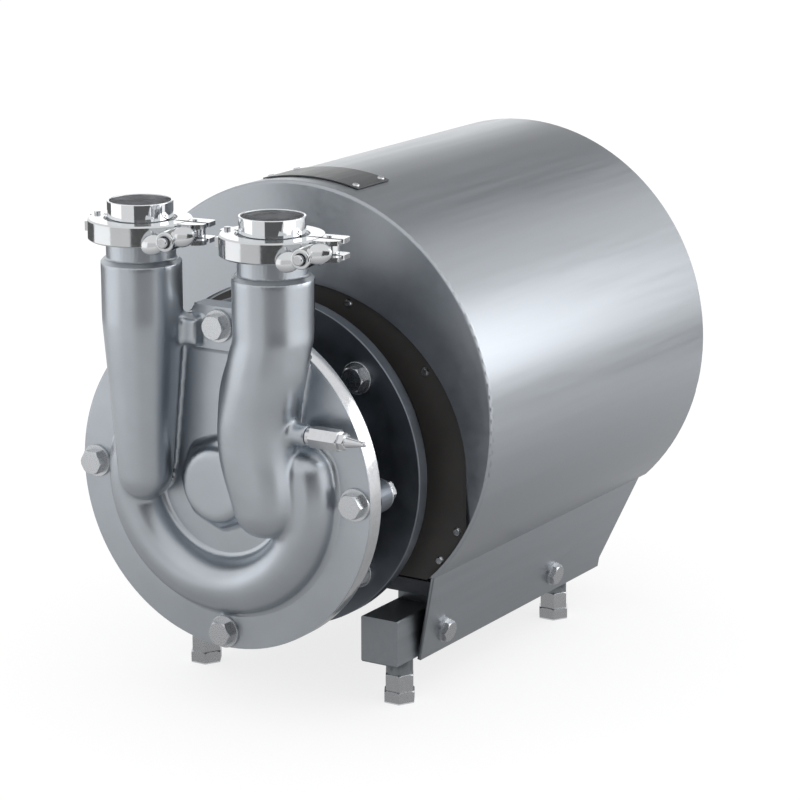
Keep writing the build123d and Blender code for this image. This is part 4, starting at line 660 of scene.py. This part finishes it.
# Every other visible piece: smooth rounds and small edge rounds on a merged copy

edge_rounds = {
    "rear_casing": 0.0008, "lantern": 0.0008, "cover_bolts": 0.0004, "bolt_washers": 0.0003,
    "cover_nuts": 0.0004, "lantern_bolts": 0.0004, "shroud": 0.0, "skirt_bolts": 0.0004,
    "front_baffle": 0.0, "baffle_screws": 0.0003, "left_rail": 0.0, "right_rail": 0.0,
    "lock_nuts": 0.0005, "foot_front_left": 0.0005, "foot_front_right": 0.0005,
    "foot_rear_left": 0.0005, "foot_rear_right": 0.0005, "name_plate": 0.0002,
    "name_plate_rivets": 0.0002, "rear_grille": 0.0, "rear_grille_screws": 0.0003,
    "ferrule_gaskets": 0.0, "left_clamp_front": 0.0006, "left_clamp_back": 0.0006,
    "right_clamp_front": 0.0006, "right_clamp_back": 0.0006, "clamp_pins": 0.0004,
    "left_eye_bolt": 0.0003, "right_eye_bolt": 0.0003, "bleed_valve_body": 0.0003,
    "bleed_screw": 0.0002,
    "motor_housing": 0.0, "motor_front_shield": 0.0, "motor_rear_shield": 0.0, "fan_cowl": 0.0,
    "terminal_box": 0.0, "terminal_lid": 0.0, "cable_gland": 0.0, "motor_shims": 0.0,
    "motor_foot_bolts": 0.0003, "shaft": 0.0, "impeller": 0.0, "impeller_nut": 0.0, "fan": 0.0,
}
for node, width in edge_rounds.items():
    dress(soft_copy(node, bevel=width), node)


# Studio: pale floor, white surroundings and grey cards that give the metal its bands

card_columns = 32
shade_segments = 96


def plain_material(name, colour, strength=1.0):
    """A surface that shows one colour without being lit."""
    material = bpy.data.materials.new(name)
    material.use_nodes = True
    tree = material.node_tree
    tree.nodes.clear()
    glow = tree.nodes.new("ShaderNodeEmission")
    glow.inputs["Color"].default_value = (*colour, 1)
    glow.inputs["Strength"].default_value = strength
    link(tree, glow.outputs[0], tree.nodes.new("ShaderNodeOutputMaterial").inputs["Surface"])
    return material


def floor_material():
    """White to the camera and to gloss, darkened only by the object's own shadow."""
    material = bpy.data.materials.new("studio floor")
    material.use_nodes = True
    tree = material.node_tree
    tree.nodes.clear()
    paper = tree.nodes.new("ShaderNodeBsdfDiffuse")
    paper.inputs["Color"].default_value = (0.86, 0.86, 0.86, 1)
    glow = tree.nodes.new("ShaderNodeEmission")
    glow.inputs["Strength"].default_value = 1.12
    path = tree.nodes.new("ShaderNodeLightPath")
    seen = maths(tree, "MAXIMUM", path.outputs["Is Camera Ray"], path.outputs["Is Glossy Ray"])
    seen = maths(tree, "MAXIMUM", seen, path.outputs["Is Transmission Ray"])
    share = maths(tree, "MULTIPLY", seen, 0.7)
    mix = tree.nodes.new("ShaderNodeMixShader")
    link(tree, share, mix.inputs[0])
    link(tree, paper.outputs[0], mix.inputs[1])
    link(tree, glow.outputs[0], mix.inputs[2])
    link(tree, mix.outputs[0], tree.nodes.new("ShaderNodeOutputMaterial").inputs["Surface"])
    return material


def reflect_only(card):
    """A card that only shows in glossy metal: it throws no shadow and lights nothing else."""
    card.visible_camera = False
    card.visible_shadow = False
    card.visible_diffuse = False
    return card


def curved_card(name, bearings, heights, distance, strength):
    """An upright curved card round the object. Points are (d sin b, -d cos b, z) for bearings
    b measured from the camera's side and heights z."""
    b = np.radians(camera_azimuth + np.linspace(bearings[0], bearings[1], card_columns))
    bb, z = np.meshgrid(b, np.asarray(heights), indexing="ij")
    points = np.stack([distance * np.sin(bb), -distance * np.cos(bb), z], -1).reshape(-1, 3)
    i = np.arange(card_columns - 1)
    card = mesh_piece(name, points, np.stack([2 * i, 2 * i + 2, 2 * i + 3, 2 * i + 1], -1))
    card.data.materials.append(plain_material(name, (1, 1, 1), strength))
    return reflect_only(card)


def painted_floor_shade():
    """Painted shade on the floor, seen only in glossy metal: a disc that darkens towards the object,
    standing in for the object's shade round it. Its brightness is a straight rise from the centre
    outwards, kept between two limits."""
    turn = np.linspace(0, 2 * math.pi, shade_segments, endpoint=False)
    radii = np.array([0.02, 2.2])
    rr, tt = np.meshgrid(radii, turn, indexing="ij")
    points = np.stack([rr * np.cos(tt), rr * np.sin(tt), 0 * rr + 0.001], -1).reshape(-1, 3)
    j = np.arange(shade_segments)
    on = (j + 1) % shade_segments
    faces = np.stack([j, shade_segments + j, shade_segments + on, on], -1)
    disc = mesh_piece("painted_floor_shade", points, faces)
    material = plain_material("painted_floor_shade", (1, 1, 1))
    tree = material.node_tree
    place = tree.nodes.new("ShaderNodeTexCoord").outputs["Object"]
    length = tree.nodes.new("ShaderNodeVectorMath")
    length.operation = "LENGTH"
    link(tree, place, length.inputs[0])
    fade = tree.nodes.new("ShaderNodeMapRange")
    fade.inputs["From Min"].default_value = 0.2
    fade.inputs["From Max"].default_value = 1.3
    fade.inputs["To Min"].default_value = 0.4
    fade.inputs["To Max"].default_value = 1.0
    link(tree, length.outputs["Value"], fade.inputs["Value"])
    link(tree, fade.outputs["Result"], tree.nodes["Emission"].inputs["Strength"])
    disc.data.materials.append(material)
    return reflect_only(disc)


floor_half = 6.0
floor_corners = [(-floor_half, -floor_half, 0), (floor_half, -floor_half, 0),
                 (floor_half, floor_half, 0), (-floor_half, floor_half, 0)]
studio_floor = mesh_piece("studio_floor", floor_corners, [(0, 1, 2, 3)], smooth=False)
studio_floor.data.materials.append(floor_material())
# Painted shade: a disc seen only in glossy metal, darker near the object, for the object's shade on the
# floor
painted_floor_shade()

# Boards round the front give upright metal its bands
curved_card("board_left", (-106, -61), (0.002, 0.6), 1.35, 1.35)
curved_card("board_front_left", (-61, -22), (0.002, 0.5), 1.35, 0.75)
curved_card("board_front", (-22, 31), (0.002, 0.7), 1.35, 0.1)
curved_card("board_right", (31, 78), (0.002, 0.6), 1.35, 1.35)
curved_card("board_right_back", (104, 180), (0.002, 0.12), 1.35, 0.3)
curved_card("board_left_back", (180, 254), (0.002, 0.24), 1.35, 0.12)

# Behind the object: a bright window to the right, a dark flag above and a bright strip to the left
curved_card("window_right", (70, 112), (0.3, 1.05), 1.5, 3.2)
curved_card("flag_above", (140, 205), (1.05, 2.6), 2.2, 0.35)
curved_card("strip_left", (172, 200), (0.45, 0.95), 2.2, 1.6)
curved_card("window_upper_right", (35, 85), (1.1, 1.8), 1.5, 1.8)

world = bpy.data.worlds.new("studio")
bpy.context.scene.world = world
world.use_nodes = True
world.node_tree.nodes["Background"].inputs["Color"].default_value = (1, 1, 1, 1)
world.node_tree.nodes["Background"].inputs["Strength"].default_value = 1.0

bpy.context.scene.view_settings.view_transform = "Standard"


# Camera

def place_camera():
    """A pinhole at the solved place, turned by azimuth and elevation, with no roll."""
    a, e = math.radians(camera_azimuth), math.radians(camera_elevation)
    back = Vector((math.sin(a) * math.cos(e), -math.cos(a) * math.cos(e), math.sin(e)))
    right = Vector((math.cos(a), math.sin(a), 0))
    up = back.cross(right)
    data = bpy.data.cameras.new("photo_camera")
    data.lens = camera_lens
    data.sensor_width = sensor_width
    data.clip_end = 50
    camera = bpy.data.objects.new("photo_camera", data)
    turn = Matrix((right, up, back)).transposed().to_4x4()
    camera.matrix_world = Matrix.Translation(camera_place) @ turn
    bpy.context.scene.collection.objects.link(camera)
    bpy.context.scene.camera = camera


place_camera()

bpy.context.view_layer.update()
